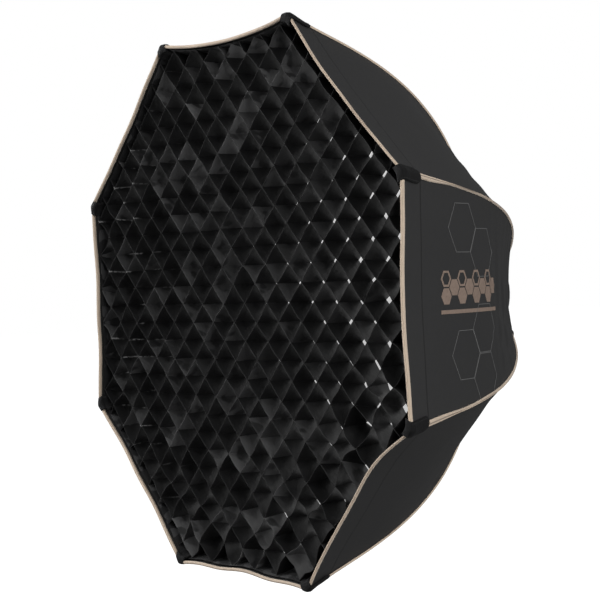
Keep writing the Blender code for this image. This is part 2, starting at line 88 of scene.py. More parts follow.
INK_TOP, INK_UNDER = 0.00045, 0.00005  # above the cloth

# Each front edge: how far its middle pulls in, how that pull leans to one end, then its ripple and its waves.
EDGES = {
    1: (0.009, 0.10, 0.0006, 3),
    2: (0.016, -0.10, 0.0005, 2),
    3: (0.004, 0.0, 0.0006, 3),
    4: (0.007, 0.10, 0.0008, 4),
    5: (0.006, -0.10, 0.0010, 4),
    6: (0.006, 0.0, 0.0018, 5),
    7: (0.021, 0.35, 0.0030, 3),
    8: (0.009, -0.10, 0.0012, 4),
}


# ---------------------------------------------------------------- curves and surfaces
def seam(t):
    """Radius and y on the seam curve, and its unit tangent towards the rear, for an array of shares t."""
    t = np.asarray(t, float)[..., None]
    s = 1 - t
    a, b, c, d = SEAM_CURVE
    at = s**3 * a + 3 * s * s * t * b + 3 * s * t * t * c + t**3 * d
    slope = s * s * (b - a) + 2 * s * t * (c - b) + t * t * (d - c)
    slope /= np.linalg.norm(slope, axis=-1, keepdims=True)
    return at[..., 0], at[..., 1], slope[..., 0], slope[..., 1]


SHARES = np.linspace(0, 1, 1201)
SEAM_R, SEAM_Y, _, _ = seam(SHARES)


def run_along(*path):
    """The distance from a path's first point to each of its points, from its coordinates."""
    steps = np.linalg.norm([np.diff(values) for values in path], axis=0)
    return np.concatenate([[0], np.cumsum(steps)])


PANEL_ARC = run_along(SEAM_R * math.cos(HALF), SEAM_Y)
SEAM_ARC = run_along(SEAM_R, SEAM_Y)


def share_at_y(y):
    return np.interp(y, SEAM_Y, SHARES)


def share_at_arc(arc):
    """The share of the curve at a distance from the rim, measured down the middle of a panel."""
    return np.interp(arc, PANEL_ARC, SHARES)


def share_on_seam(arc):
    return np.interp(arc, SEAM_ARC, SHARES)


def smooth(low, high, x):
    """0 below low, 1 above high and an eased step between them."""
    share = np.clip((np.asarray(x, float) - low) / (high - low), 0, 1)
    return share * share * (3 - 2 * share)


def hump(x, middle, width):
    """1 at the middle, falling to 0 on both sides."""
    return np.exp(-(((x - middle) / width) ** 2))


def circle(count):
    """Angles that go once round."""
    return np.linspace(0, TURN, count, endpoint=False)


def cloth_places(across, along):
    """The cloth's own coordinates in metres, one (u, v) for each point of a grid."""
    return np.stack(np.broadcast_arrays(across, along), -1)


def turned(points, angle):
    """Points turned about Y, from +X towards +Z."""
    c, s = math.cos(angle), math.sin(angle)
    x, y, z = points[..., 0], points[..., 1], points[..., 2]
    return np.stack([x * c - z * s, y, x * s + z * c], -1)


def edge_pull(side, u):
    """How far the front edge of a side is pulled in from its chord, at shares u along it."""
    sag, lean, ripple, waves = EDGES[side]
    body = 4 * u * (1 - u)
    return sag * body * (1 + lean * (2 * u - 1)) + ripple * np.sin(waves * math.pi * u + side) * np.sqrt(body)


def side_pull(side, t, u):
    """How far a panel stands in from its flat gore: the pull of its front edge, then its hollow."""
    pull = edge_pull(side, u) * np.clip(1 - t / SAG_END, 0, None) ** 2
    hollow = HOLLOW * np.sin(math.pi * np.clip(t - SAG_END, 0, None) / (1 - SAG_END)) ** 2
    return pull + hollow * 4 * u * (1 - u)


def creases(side, t, u):
    """How far the cloth of a panel stands out from its drawn shape, zero along the seams."""
    r = np.interp(t, SHARES, SEAM_R)
    arc = np.interp(t, SHARES, PANEL_ARC)
    along = np.interp(t, SHARES, SEAM_ARC)
    across = (2 * u - 1) * r * math.sin(HALF)
    from_seam = np.minimum(u, 1 - u) * 2 * r * math.sin(HALF)
    body = np.clip(4 * u * (1 - u), 0, 1)
    before_neck = 1 - smooth(0.56, 0.60, arc)

    slant = arc + 0.10 * across * math.sin(1.7 * side) + 0.004 * np.sin(19 * across + side)
    fold = np.sin(TURN * slant / 0.027 + 1.3 * side) + 0.6 * np.sin(TURN * slant / 0.017 + side)
    depth = 0.0013 if side == 8 else 0.0010
    folds = depth * smooth(0.20, 0.30, arc) * before_neck * np.maximum(fold, -0.3) ** 2 * np.sqrt(body)
    taut = -0.0078 * smooth(0.22, 0.36, arc) * before_neck * body
    gather = 0.0012 * smooth(0.50, 0.60, arc) * np.sin(TURN * 5 * u + 0.9 * side) * body
    drift = np.sin(17 * across + 9 * arc + 2 * side) * np.sin(13 * arc + side)
    drift = 0.0007 * smooth(0.07, 0.16, arc) * drift * body

    pucker = 0.00028 * np.sin(TURN * along / 0.013 + 5 * u) * np.exp(-from_seam / 0.008)
    pucker = pucker * smooth(0, 0.004, from_seam)
    ruffle = 0.0005 * np.exp(-arc / 0.02) * (1 + np.sin(TURN * across / 0.037 + side)) * body
    hem = 0.0006 * (1 - smooth(HEM - 0.0012, HEM + 0.0012, arc)) * body
    stitch = -0.0005 * hump(arc, HEM, 0.0014) * np.sqrt(body)
    return taut + folds + gather + drift + pucker + ruffle + hem + stitch


def shell_point(side, t, u, lift):
    """Points on the outer face of a panel, lifted along its normal."""
    t, u = np.broadcast_arrays(np.asarray(t, float), np.asarray(u, float))
    r, y, dr, dy = seam(t)
    out = r * math.cos(HALF) - side_pull(side, t, u)
    across = (2 * u - 1) * r * math.sin(HALF)
    length = np.hypot(out, across)
    share = smooth(ROUNDING_START, 1, t)
    grow = 1 + share * (r / length - 1)
    tilt = share * across / length
    normal = np.stack([dy * np.sqrt(1 - tilt**2), -dr * math.cos(HALF), dy * tilt], -1)
    normal /= np.linalg.norm(normal, axis=-1, keepdims=True)
    point = np.stack([out * grow, y, across * grow], -1)
    point = point + normal * (np.asarray(lift) + creases(side, t, u))[..., None]
    return turned(point, side % SIDES * STEP)


def seam_offset(t, outward):
    """(radius, y) that far outside the seam curve."""
    r, y, dr, dy = seam(t)
    return np.stack([r + outward * dy, y - outward * dr], -1)


def lip(y, inset, per_side=25):
    """The loop that follows the inside of the shell's lip at one y."""
    t = share_at_y(y)
    r, _, _, dy = seam(t)
    u = np.linspace(0.03, 0.97, per_side)
    loop = []
    for side in range(1, SIDES + 1):
        out = r * math.cos(HALF) - LIP_GAP / dy - inset - side_pull(side, t, u)
        across = (2 * u - 1) * (r - inset - LIP_GAP) * math.sin(HALF)
        loop.append(turned(np.stack([out, np.full_like(u, y), across], -1), side * STEP))
    return np.concatenate(loop)


def loop_runs(loop):
    """The distance round a loop from its first point to each of its points."""
    return np.cumsum(np.linalg.norm(np.diff(loop, axis=0, prepend=loop[:1]), axis=1))


def loop_length(loop):
    return float(np.linalg.norm(loop - np.roll(loop, -1, 0), axis=-1).sum())


# ---------------------------------------------------------------- mesh building
def mesh_object(name, points, faces, uvs, materials, face_materials=None, sharp=50):
    """A mesh object from arrays. uvs holds one (u, v) in metres for each vertex."""
    mesh = bpy.data.meshes.new(name)
    mesh.from_pydata([tuple(map(float, p)) for p in points], [], faces)
    for material in materials:
        mesh.materials.append(material)
    if face_materials is not None:
        mesh.polygons.foreach_set("material_index", np.asarray(face_materials, np.int32))
    layer = mesh.uv_layers.new(name="cloth")
    corner_vertex = np.zeros(len(mesh.loops), np.int32)
    mesh.loops.foreach_get("vertex_index", corner_vertex)
    layer.data.foreach_set("uv", np.asarray(uvs, np.float32)[corner_vertex].ravel())
    mesh.shade_smooth()
    mesh.set_sharp_from_angle(angle=math.radians(sharp))
    mesh.update()
    made = bpy.data.objects.new(name, mesh)
    bpy.context.scene.collection.objects.link(made)
    return made


def grid_faces(rows, columns, start=0, wrap=False, flip=False):
    faces = []
    for i in range(rows - 1):
        for j in range(columns if wrap else columns - 1):
            k = (j + 1) % columns
            a, b = start + i * columns + j, start + i * columns + k
            face = (a, b, b + columns, a + columns)
            faces.append(face[::-1] if flip else face)
    return faces


def slab(front, back, wrap=False):
    """Points and faces of a thin closed sheet between two grids of points (rows, columns, 3).

    The faces come in three runs: the front, the back and the edges. wrap closes the grid across its columns.
    """
    rows, columns = front.shape[:2]
    count = rows * columns
    middle = rows // 2, columns // 2
    along = front[middle[0], middle[1] - 1] - front[middle]
    down = front[middle[0] - 1, middle[1]] - front[middle]
    # A face's corners run along a row and then to the next one
    flip = np.dot(np.cross(along, down), front[middle] - back[middle]) < 0
    faces = grid_faces(rows, columns, 0, wrap, flip)
    faces += grid_faces(rows, columns, count, wrap, not flip)
    edge = []
    for j in range(columns if wrap else columns - 1):
        k = (j + 1) % columns
        edge.append((j, k))
        edge.append(((rows - 1) * columns + k, (rows - 1) * columns + j))
    if not wrap:
        for i in range(rows - 1):
            edge.append(((i + 1) * columns, i * columns))
            edge.append((i * columns + columns - 1, (i + 1) * columns + columns - 1))
    for a, b in edge:
        face = (b, a, a + count, b + count)
        faces.append(face[::-1] if flip else face)
    return np.concatenate([front.reshape(-1, 3), back.reshape(-1, 3)]), faces


def slab_object(name, front, back, uv, face_material, back_material=None, wrap=False, sharp=50):
    points, faces = slab(front, back, wrap)
    rows, columns = front.shape[:2]
    run = (rows - 1) * (columns if wrap else columns - 1)
    index = np.zeros(len(faces), int)
    if back_material:
        index[run : 2 * run] = 1
    materials = [face_material] + ([back_material] if back_material else [])
    return mesh_object(name, points, faces, np.concatenate([uv.reshape(-1, 2)] * 2), materials, index, sharp)


def joined(name, parts, materials, sharp=50):
    """One object from several (points, faces, uvs) shells."""
    points, faces, uvs, start = [], [], [], 0
    for part_points, part_faces, part_uvs in parts:
        points.append(part_points)
        uvs.append(part_uvs)
        faces += [tuple(i + start for i in face) for face in part_faces]
        start += len(part_points)
    return mesh_object(name, np.concatenate(points), faces, np.concatenate(uvs), materials, None, sharp)


def fan(first, columns, tip, flip=False):
    """Triangles from one ring of points to a single point."""
    faces = [(first + j, first + (j + 1) % columns, tip) for j in range(columns)]
    return [face[::-1] for face in faces] if flip else faces


def closed_tube(rings):
    """Points and faces of a tube whose ends are closed by a fan."""
    rows, columns = rings.shape[:2]
    count = rows * columns
    points = np.concatenate([rings.reshape(-1, 3), [rings[0].mean(0)], [rings[-1].mean(0)]])
    faces = grid_faces(rows, columns, 0, wrap=True) + fan(0, columns, count, flip=True)
    faces += fan(count - columns, columns, count + 1)
    turn = np.cross(rings[0, 1] - rings[0, 0], rings[1, 0] - rings[0, 0])
    if np.dot(turn, rings[0, 0] - rings[0].mean(0)) < 0:
        faces = [face[::-1] for face in faces]
    return points, faces


def ring_faces(rows, columns):
    """Faces of a tube that closes on itself."""
    faces = []
    for i in range(rows):
        for j in range(columns):
            k, m = (j + 1) % columns, (i + 1) % rows
            faces.append((i * columns + j, i * columns + k, m * columns + k, m * columns + j))
    return faces


# ---------------------------------------------------------------- materials
class Shader:
    """A node material with a Principled shader, built up call by call."""

    def __init__(self, name, **values):
        self.material = bpy.data.materials.new(name)
        self.material.use_nodes = True
        self.tree = self.material.node_tree
        self.principled = next(n for n in self.tree.nodes if n.type == "BSDF_PRINCIPLED")
        for key, value in values.items():
            socket = self.principled.inputs[key.replace("_", " ")]
            socket.default_value = (*value, 1) if isinstance(value, tuple) and len(value) == 3 else value

    def node(self, kind, inputs=(), **settings):
        node = self.tree.nodes.new("ShaderNode" + kind)
        for key, value in settings.items():
            setattr(node, key, value)
        for key, value in dict(inputs).items():
            socket = node.inputs[key]
            if isinstance(value, bpy.types.NodeSocket):
                self.tree.links.new(value, socket)
            else:
                socket.default_value = value
        return node

    def math(self, operation, a, b=0.0, c=0.0):
        return self.node("Math", {0: a, 1: b, 2: c}, operation=operation).outputs[0]

    def times(self, a, b):
        return self.math("MULTIPLY", a, b)

    def uv(self):
        """The cloth's own coordinates in metres."""
        parts = self.node("SeparateXYZ", {0: self.node("UVMap", uv_map="cloth").outputs[0]})
        return parts.outputs[0], parts.outputs[1]

    def place(self):
        return self.node("TexCoord").outputs["Object"]

    def noise(self, scale, detail=3.0, roughness=0.55):
        inputs = {"Vector": self.place(), "Scale": scale, "Detail": detail, "Roughness": roughness}
        return self.node("TexNoise", inputs).outputs[0]

    def ramp(self, value, low, high, to_low=0.0, to_high=1.0, kind="SMOOTHSTEP"):
        inputs = {"Value": value, "From Min": low, "From Max": high, "To Min": to_low, "To Max": to_high}
        return self.node("MapRange", inputs, interpolation_type=kind).outputs[0]

    def mix(self, share, a, b):
        node = self.node("Mix", data_type="RGBA")
        for index, value in ((0, share), (6, a), (7, b)):
            if isinstance(value, bpy.types.NodeSocket):
                self.tree.links.new(value, node.inputs[index])
            else:
                node.inputs[index].default_value = (*value, 1) if isinstance(value, tuple) else value
        return node.outputs[2]

    def weave(self, pitch):
        """A plain weave's height, from 0 to 1, with threads this far apart."""
        u, v = self.uv()
        rate = math.pi / pitch
        warp = self.math("ABSOLUTE", self.math("SINE", self.times(u, rate)))
        weft = self.math("ABSOLUTE", self.math("SINE", self.times(v, rate)))
        both = self.times(u, rate), self.times(v, rate)
        turn = self.math("SINE", self.math("ADD", *both))
        turn = self.times(turn, self.math("SINE", self.math("SUBTRACT", *both)))
        over = self.ramp(turn, -0.4, 0.4)
        rest = self.math("SUBTRACT", 1.0, over)
        return self.math("ADD", self.times(warp, over), self.times(weft, rest))

    def line(self, value, centre, half_width):
        """1 along a line at a value of one coordinate, falling to 0 on both sides."""
        away = self.math("ABSOLUTE", self.math("SUBTRACT", value, centre))
        return self.ramp(away, 0.0, half_width, 1.0, 0.0)

    def dashes(self, value, pitch, filled=0.7):
        """1 on the stitches of a row and 0 in the gaps between them."""
        share = self.math("FRACT", self.math("DIVIDE", value, pitch))
        away = self.math("ABSOLUTE", self.math("SUBTRACT", share, 0.5))
        return self.ramp(away, filled / 2 - 0.08, filled / 2 + 0.05, 1.0, 0.0)

    def bump(self, height, distance, strength=1.0, after=None):
        inputs = {"Height": height, "Distance": distance, "Strength": strength}
        if after is not None:
            inputs["Normal"] = after
        return self.node("Bump", inputs).outputs[0]

    def stain(self, base, colour, where, share):
        """The base with a colour over it, as strong as this share where a mask is 1."""
        return self.mix(self.times(where, share), base, colour)

    def set(self, **sockets):
        for key, value in sockets.items():
            self.tree.links.new(value, self.principled.inputs[key.replace("_", " ")])
        return self.material

    def coat(self, base, normal, value, low, high, least, most):
        """The finished material, whose roughness goes from least to most as a value goes from low to high."""
        rough = self.ramp(value, low, high, least, most, "LINEAR")
        return self.set(Base_Color=base, Roughness=rough, Normal=normal)


def shell_material():
    """Matte coated polyester: fine weave, a stitched hem with painted shade in its groove, faint creases and
    rubbed edges.
    """
    s = Shader("shell_cloth", Specular_IOR_Level=0.16, Sheen_Weight=0.02, Sheen_Roughness=0.55)
    u, v = s.uv()
    broad = s.noise(4.5, 4.0)
    fine = s.noise(160.0, 2.0)
    base = s.mix(broad, (0.026, 0.026, 0.0265), (0.036, 0.036, 0.0365))
    base = s.stain(base, (0.048, 0.048, 0.049), fine, 0.35)
    stitches = s.times(s.line(v, HEM, 0.0009), s.dashes(u, 0.0034))
    # painted shade: the hem's stitched groove is darkened as if shade fell in it
    groove = s.line(v, HEM, 0.0024)
    base = s.stain(base, (0.004, 0.004, 0.004), groove, 0.80)
    base = s.stain(base, (0.055, 0.055, 0.056), stitches, 0.45)
    # paler rubbed wear along the front edge
    wear_and_highlight = s.times(s.ramp(v, 0.0, 0.012, 1.0, 0.0), s.ramp(s.noise(60.0), 0.5, 0.75))
    base = s.stain(base, (0.085, 0.083, 0.08), wear_and_highlight, 0.25)
    weave = s.bump(s.weave(0.00055), 0.00012, 0.5)
    crumple = s.bump(s.noise(26.0, 5.0, 0.6), 0.0016, 0.35, weave)
    sewn = s.bump(s.math("SUBTRACT", stitches, groove), 0.0005, 0.8, crumple)
    return s.coat(base, sewn, broad, 0.2, 0.8, 0.60, 0.74)


def lining_material():
    """Silver-coated lining with a fine weave, behind a black hem along the front edge."""
    s = Shader("silver_lining", Specular_IOR_Level=0.4)
    _, v = s.uv()
    silver = s.ramp(v, HEM + 0.0050, HEM + 0.0054)
    base = s.mix(s.noise(6.0, 3.0), (0.60, 0.61, 0.62), (0.74, 0.745, 0.75))
    hem = s.mix(s.noise(30.0, 3.0), (0.0050, 0.0050, 0.0052), (0.0090, 0.0090, 0.0092))
    base = s.mix(silver, hem, base)
    weave = s.bump(s.weave(0.0011), 0.00018, 0.6)
    creased = s.bump(s.noise(34.0, 4.0, 0.65), 0.0022, 0.5, weave)
    rough = s.mix(silver, (0.75, 0.75, 0.75), s.ramp(s.noise(70.0), 0.3, 0.7, 0.30, 0.44, "LINEAR"))
    return s.set(Base_Color=base, Metallic=s.times(silver, 0.75), Roughness=rough, Normal=creased)


def tan_material(name, channel):
    """Woven tan twill that has picked up dirt. channel is how strongly the sewn channel along its middle is
    darkened as painted shade.
    """
    s = Shader(name, Specular_IOR_Level=0.35, Sheen_Weight=0.25, Sheen_Roughness=0.4)
    u, v = s.uv()
    twill = s.math("SINE", s.times(s.math("ADD", s.times(u, 0.8), v), TURN / 0.0011))
    ribs = s.ramp(twill, -1.0, 1.0, 0.0, 1.0, "LINEAR")
    broad = s.noise(22.0, 3.0)
    base = s.mix(broad, (0.66, 0.53, 0.41), (0.80, 0.66, 0.52))
    base = s.stain(base, (0.50, 0.385, 0.29), ribs, 0.3)
    base = s.stain(base, (0.30, 0.22, 0.17), s.ramp(s.noise(9.0, 4.0), 0.52, 0.78), 0.35)
    # painted shade down the sewn channel along the middle, as strong as channel
    base = s.stain(base, (0.13, 0.09, 0.065), s.line(u, 0.0, 0.0011), channel)
    bumped = s.bump(ribs, 0.00025, 0.7)
    fuzz = s.bump(s.noise(900.0, 2.0), 0.0002, 0.4, bumped)
    return s.coat(base, fuzz, broad, 0.2, 0.8, 0.62, 0.78)


def webbing_material():
    """Black ribbed webbing with a stitched margin."""
    s = Shader("webbing", Specular_IOR_Level=0.14, Sheen_Weight=0.015, Sheen_Roughness=0.5)
    u, v = s.uv()
    ribs = s.math("ABSOLUTE", s.math("SINE", s.times(v, math.pi / 0.0016)))
    cross = s.math("ABSOLUTE", s.math("SINE", s.times(u, math.pi / 0.0011)))
    height = s.math("ADD", ribs, s.times(cross, 0.5))
    base = s.mix(s.noise(40.0), (0.0050, 0.0050, 0.0053), (0.0095, 0.0095, 0.010))
    base = s.stain(base, (0.016, 0.016, 0.0165), ribs, 0.35)
    margin = s.line(s.math("ABSOLUTE", u), 0.0094, 0.0007)
    stitches = s.times(margin, s.dashes(v, 0.0030))
    base = s.stain(base, (0.05, 0.05, 0.05), stitches, 0.5)
    bumped = s.bump(height, 0.0004, 0.8)
    sewn = s.bump(s.math("SUBTRACT", stitches, margin), 0.0004, 0.7, bumped)
    fuzz = s.bump(s.noise(1100.0, 2.0), 0.0002, 0.4, sewn)
    return s.coat(base, fuzz, s.noise(90.0), 0.3, 0.7, 0.66, 0.82)


def grid_material(name, edge_highlight_colour):
    """Black satin cloth bonded where it crosses, with painted light on some cells, its cut edges and
    crossings, and painted shade towards +X.
    """
    s = Shader(name, Specular_IOR_Level=0.40)
    u, v = s.uv()
    x, _, z = s.node("SeparateXYZ", {0: s.place()}).outputs
    number = s.math("FLOOR", s.math("SUBTRACT", s.math("DIVIDE", u, CELL), 0.5))
    chance = s.node("TexWhiteNoise", {"W": number}, noise_dimensions="1D").outputs["Value"]
    base = s.mix(s.noise(7.0, 3.0), (0.0050, 0.0050, 0.0053), (0.0100, 0.0100, 0.0105))
    # painted light: paler cells where facets would catch the light, more so towards the top and bottom
    painted_lit_cells = s.times(s.ramp(chance, 0.50, 0.95, 0.0, 1.0), s.ramp(s.noise(34.0, 1.5), 0.38, 0.46, 0.25, 1.0))
    high = s.ramp(s.math("ABSOLUTE", z), 0.10, 0.30, 0.45, 1.0)
    base = s.mix(s.times(painted_lit_cells, high), base, (0.1250, 0.1250, 0.1265))
    # painted shade: the cloth darkens towards +X
    base = s.mix(s.ramp(x, -0.02, 0.26, 0.0, 0.50), base, (0.0015, 0.0015, 0.0016))
    # painted highlight along the cut edges, stronger towards +X; the falling strips get a brighter one than
    # the rising strips
    to_edge = s.math("MINIMUM", v, s.math("SUBTRACT", TAPE_WIDTH, v))
    edge = s.ramp(to_edge, 0.0003, 0.0008, 1.0, 0.0)
    wear_and_highlight = s.times(edge, s.ramp(s.noise(38.0), 0.34, 0.66, 0.15, 1.0))
    wear_and_highlight = s.times(wear_and_highlight, s.ramp(x, -0.30, 0.20, 0.0, 1.0))
    base = s.mix(wear_and_highlight, base, edge_highlight_colour)
    cell = s.math("FRACT", s.math("DIVIDE", u, CELL))
    # painted glints: pale patches along the crossings, where the folds would catch the light
    crossing_line = s.line(cell, 0.5, 0.017)
    painted_glint = s.times(crossing_line, s.ramp(s.noise(9.0, 2.0), 0.52, 0.62))
    painted_glint_patches = s.times(painted_glint, s.ramp(s.noise(110.0, 2.0), 0.42, 0.60))
    base = s.stain(base, (0.22, 0.22, 0.22), painted_glint_patches, 0.75)
    # painted highlight: pale streaks along the crossings on the -X side
    glint_side = s.ramp(x, -0.16, -0.34)
    painted_streak = s.times(s.line(cell, 0.5, 0.075), s.ramp(s.noise(26.0, 2.0), 0.50, 0.58))
    painted_streak = s.times(s.times(painted_streak, glint_side), s.ramp(s.noise(170.0, 2.0), 0.38, 0.52))
    base = s.mix(painted_streak, base, (0.34, 0.34, 0.34))
    satin = s.math("ABSOLUTE", s.math("SINE", s.times(u, math.pi / 0.0009)))
    woven = s.bump(satin, 0.00010, 0.4)
    creased = s.bump(s.noise(48.0, 4.0, 0.6), 0.0024, 0.55, woven)
    rough = s.math("MAXIMUM", s.ramp(chance, 0.0, 1.0, 0.46, 0.30, "LINEAR"), s.times(edge, 0.85))
    return s.set(Base_Color=base, Roughness=rough, Normal=creased)


def tape_material():
    """Black hook-and-loop tape: a fuzzy pile between two selvedges."""
    s = Shader("hook_tape", Specular_IOR_Level=0.15, Sheen_Weight=0.03, Sheen_Roughness=0.6)
    _, v = s.uv()
    pile = s.noise(1400.0, 3.0, 0.7)
    base = s.mix(pile, (0.008, 0.008, 0.0085), (0.022, 0.022, 0.023))
    selvedge = s.ramp(s.math("MINIMUM", v, s.math("SUBTRACT", TAPE_WIDTH, v)), 0.0018, 0.0026, 1.0, 0.0)
    base = s.stain(base, (0.016, 0.016, 0.017), selvedge, 0.6)
    bumped = s.bump(pile, 0.0006, 0.8)
    # paler patches here and there
    wear_and_highlight = s.times(s.ramp(s.noise(44.0, 1.0), 0.52, 0.56), s.ramp(s.noise(9.0, 1.0), 0.40, 0.55))
    base = s.mix(wear_and_highlight, base, (0.050, 0.050, 0.051))
    return s.coat(base, bumped, pile, 0.3, 0.7, 0.8, 0.95)


def white_material():
    """White translucent diffusion cloth, whose emission paints a glow as if light passed through it."""
    # painted light: the emission makes the cloth glow, standing in for light passing through it
    glow = {"Emission_Color": (1.0, 1.0, 1.0), "Emission_Strength": 0.55}
    s = Shader("white_cloth", Specular_IOR_Level=0.3, Sheen_Weight=0.15, Sheen_Roughness=0.5, **glow)
    base = s.mix(s.noise(5.0, 3.0), (0.84, 0.84, 0.83), (0.92, 0.92, 0.915))
    threads = s.weave(0.0008)
    base = s.stain(base, (0.78, 0.78, 0.77), threads, 0.15)
    woven = s.bump(threads, 0.00018, 0.6)
    soft = s.bump(s.noise(12.0, 4.0), 0.0030, 0.4, woven)
    return s.coat(base, soft, threads, 0.0, 1.0, 0.75, 0.88)


def baffle_material():
    """White inner diffusion cloth, without the front cloth's glow."""
    s = Shader("baffle_cloth", Specular_IOR_Level=0.3, Sheen_Weight=0.15, Sheen_Roughness=0.5)
    base = s.mix(s.noise(6.0, 3.0), (0.80, 0.80, 0.79), (0.90, 0.90, 0.895))
    threads = s.weave(0.0009)
    base = s.stain(base, (0.70, 0.70, 0.69), threads, 0.18)
    woven = s.bump(threads, 0.0002, 0.6)
    soft = s.bump(s.noise(14.0, 4.0), 0.0030, 0.4, woven)
    return s.coat(base, soft, threads, 0.0, 1.0, 0.72, 0.86)


def steel_material():
    """Drawn spring-steel rod, brushed along its length."""
    s = Shader("spring_steel", Metallic=1.0)
    grain = s.noise(320.0, 4.0, 0.7)
    base = s.mix(grain, (0.42, 0.42, 0.43), (0.60, 0.60, 0.61))
    base = s.stain(base, (0.28, 0.27, 0.26), s.ramp(s.noise(18.0), 0.55, 0.8), 0.4)
    bumped = s.bump(grain, 0.00008, 0.5)
    return s.coat(base, bumped, grain, 0.3, 0.7, 0.26, 0.42)


def black_metal_material():
    """Powder-coated casting: orange-peel texture, rubbed brighter here and there."""
    s = Shader("black_metal", Specular_IOR_Level=0.5)
    peel = s.noise(520.0, 2.0)
    patches = s.noise(11.0, 4.0)
    base = s.mix(patches, (0.012, 0.012, 0.0125), (0.021, 0.021, 0.0215))
    base = s.stain(base, (0.075, 0.075, 0.077), s.ramp(s.noise(75.0, 5.0), 0.62, 0.78), 0.35)
    bumped = s.bump(peel, 0.00022, 0.5)
    return s.coat(base, bumped, patches, 0.2, 0.8, 0.40, 0.55)


def bare_metal_material():
    """Turned aluminium: fine rings about the optical axis."""
    s = Shader("bare_metal", Metallic=1.0)
    x, y, z = s.node("SeparateXYZ", {0: s.place()}).outputs
    radius = s.math("SQRT", s.math("ADD", s.math("POWER", x, 2.0), s.math("POWER", z, 2.0)))
    rings = s.math("SINE", s.times(s.math("ADD", radius, y), TURN / 0.00045))
    grain = s.noise(210.0, 3.0)
    base = s.mix(grain, (0.62, 0.62, 0.63), (0.74, 0.74, 0.75))
    base = s.stain(base, (0.40, 0.40, 0.40), s.ramp(s.noise(28.0, 4.0), 0.6, 0.8), 0.3)
    bumped = s.bump(rings, 0.00005, 0.35)
    return s.coat(base, bumped, grain, 0.3, 0.7, 0.24, 0.36)


def plastic_material():
    """Moulded black plastic with a fine spark-eroded texture."""
    s = Shader("black_plastic", Specular_IOR_Level=0.45)
    grain = s.noise(1300.0, 2.0)
    base = s.mix(s.noise(30.0), (0.010, 0.009, 0.0085), (0.019, 0.017, 0.016))
    base = s.stain(base, (0.045, 0.04, 0.037), s.ramp(s.noise(120.0, 4.0), 0.60, 0.75), 0.3)
    bumped = s.bump(grain, 0.00022, 0.6)
    return s.coat(base, bumped, grain, 0.3, 0.7, 0.42, 0.58)


def print_material(name, dark, light):
    """Screen-printed ink that lets the weave under it show."""
    s = Shader(name, Specular_IOR_Level=0.3)
    speckle = s.noise(240.0, 3.0)
    base = s.mix(speckle, dark, light)
    base = s.stain(base, dark, s.ramp(s.noise(35.0, 4.0), 0.55, 0.8), 0.35)
    threads = s.weave(0.00055)
    bumped = s.bump(threads, 0.00012, 0.5)
    return s.coat(base, bumped, speckle, 0.3, 0.7, 0.62, 0.74)


SHELL_CLOTH = shell_material()
LINING = lining_material()
TAN = tan_material("tan_cord", 0.0)
# the tape's sewn channel gets painted shade
TAN_TAPE = tan_material("tan_tape", 0.9)
WEBBING = webbing_material()
# the two grid cloths differ only in how bright their painted edge highlight is
GRID_CLOTHS = {
    "honeycomb_strips_rising": grid_material("grid_cloth_rising", (0.0080, 0.0080, 0.0082)),
    "honeycomb_strips_falling": grid_material("grid_cloth_falling", (0.0180, 0.0180, 0.0184)),
}
HOOK_TAPE = tape_material()
WHITE_CLOTH = white_material()
BAFFLE_CLOTH = baffle_material()
STEEL = steel_material()
BLACK_METAL = black_metal_material()
BARE_METAL = bare_metal_material()
PLASTIC = plastic_material()
TAN_INK = print_material("tan_ink", (0.20, 0.145, 0.115), (0.32, 0.245, 0.20))
GREY_INK = print_material("grey_ink", (0.10, 0.10, 0.10), (0.17, 0.17, 0.17))


def finish_piece(piece, body, slot, *nodes):
    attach(piece, body)
    if nodes:
        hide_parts(*nodes)
    return piece


# ---------------------------------------------------------------- shell
def make_panel(side):
    """One gore of the shell: charcoal outside, silver inside. Its rows are closest at the hem's stitching."""
    arc = np.concatenate([
        np.linspace(0, HEM - 0.006, 10)[:-1],
        np.linspace(HEM - 0.006, HEM + 0.006, 9)[:-1],
        np.linspace(HEM + 0.006, PANEL_ARC[-1], 84),
    ])
    even = np.linspace(0, 1, 53)
    u = 0.55 * (0.5 - 0.5 * np.cos(math.pi * even)) + 0.45 * even
    t = share_at_arc(arc)[:, None]
    outer = shell_point(side, t, u[None], 0.0)
    inner = shell_point(side, t, u[None], -CLOTH)
    width = 2 * np.interp(t, SHARES, SEAM_R) * math.sin(HALF)
    uv = cloth_places(width * (u[None] - 0.5), arc[:, None])
    return slab_object(f"shell_panel_cloth_{side}", outer, inner, uv, SHELL_CLOTH, LINING)


def bulge(angles, middle, width):
    """1 at one angle round a cord, falling to 0 on both sides."""
    return hump((angles - middle + math.pi) % TURN - math.pi, 0, width)


def make_piping(side):
    """The tan cord along one front edge: a cord inside a folded tape, with the fold's flange behind it."""
    length = 2 * RIM_RADIUS * math.sin(HALF)
    u = np.linspace(PIPING_END / length, 1 - PIPING_END / length, 340)
    along = ((u - 0.5) * length)[:, None]
    out = (RIM_RADIUS * math.cos(HALF) - edge_pull(side, u) + 0.0007)[:, None]
    y = RIM_Y - 0.0030 + 0.0005 * np.sin(along / 0.019 + side)
    angles = circle(28)
    twist = 0.00009 * np.cos(12 * angles + along * TURN / 0.0040)
    groove = -0.0009 * bulge(angles, 0.30 * math.pi, 0.16)
    flange = 0.0016 * bulge(angles, -0.5 * math.pi, 0.42)
    r = DEEP_PIPING.get(side, PIPING) + twist + groove + flange
    rings = np.stack([out + r * np.cos(angles), y - r * np.sin(angles), along + 0 * r], -1)
    points, faces = closed_tube(turned(rings, side * STEP))
    uv = cloth_places(along, angles * 0.003).reshape(-1, 2)
    uv = np.concatenate([uv, uv[:1], uv[-1:]])
    return mesh_object(f"rim_cord_{side}", points, faces, uv, [TAN], sharp=70)


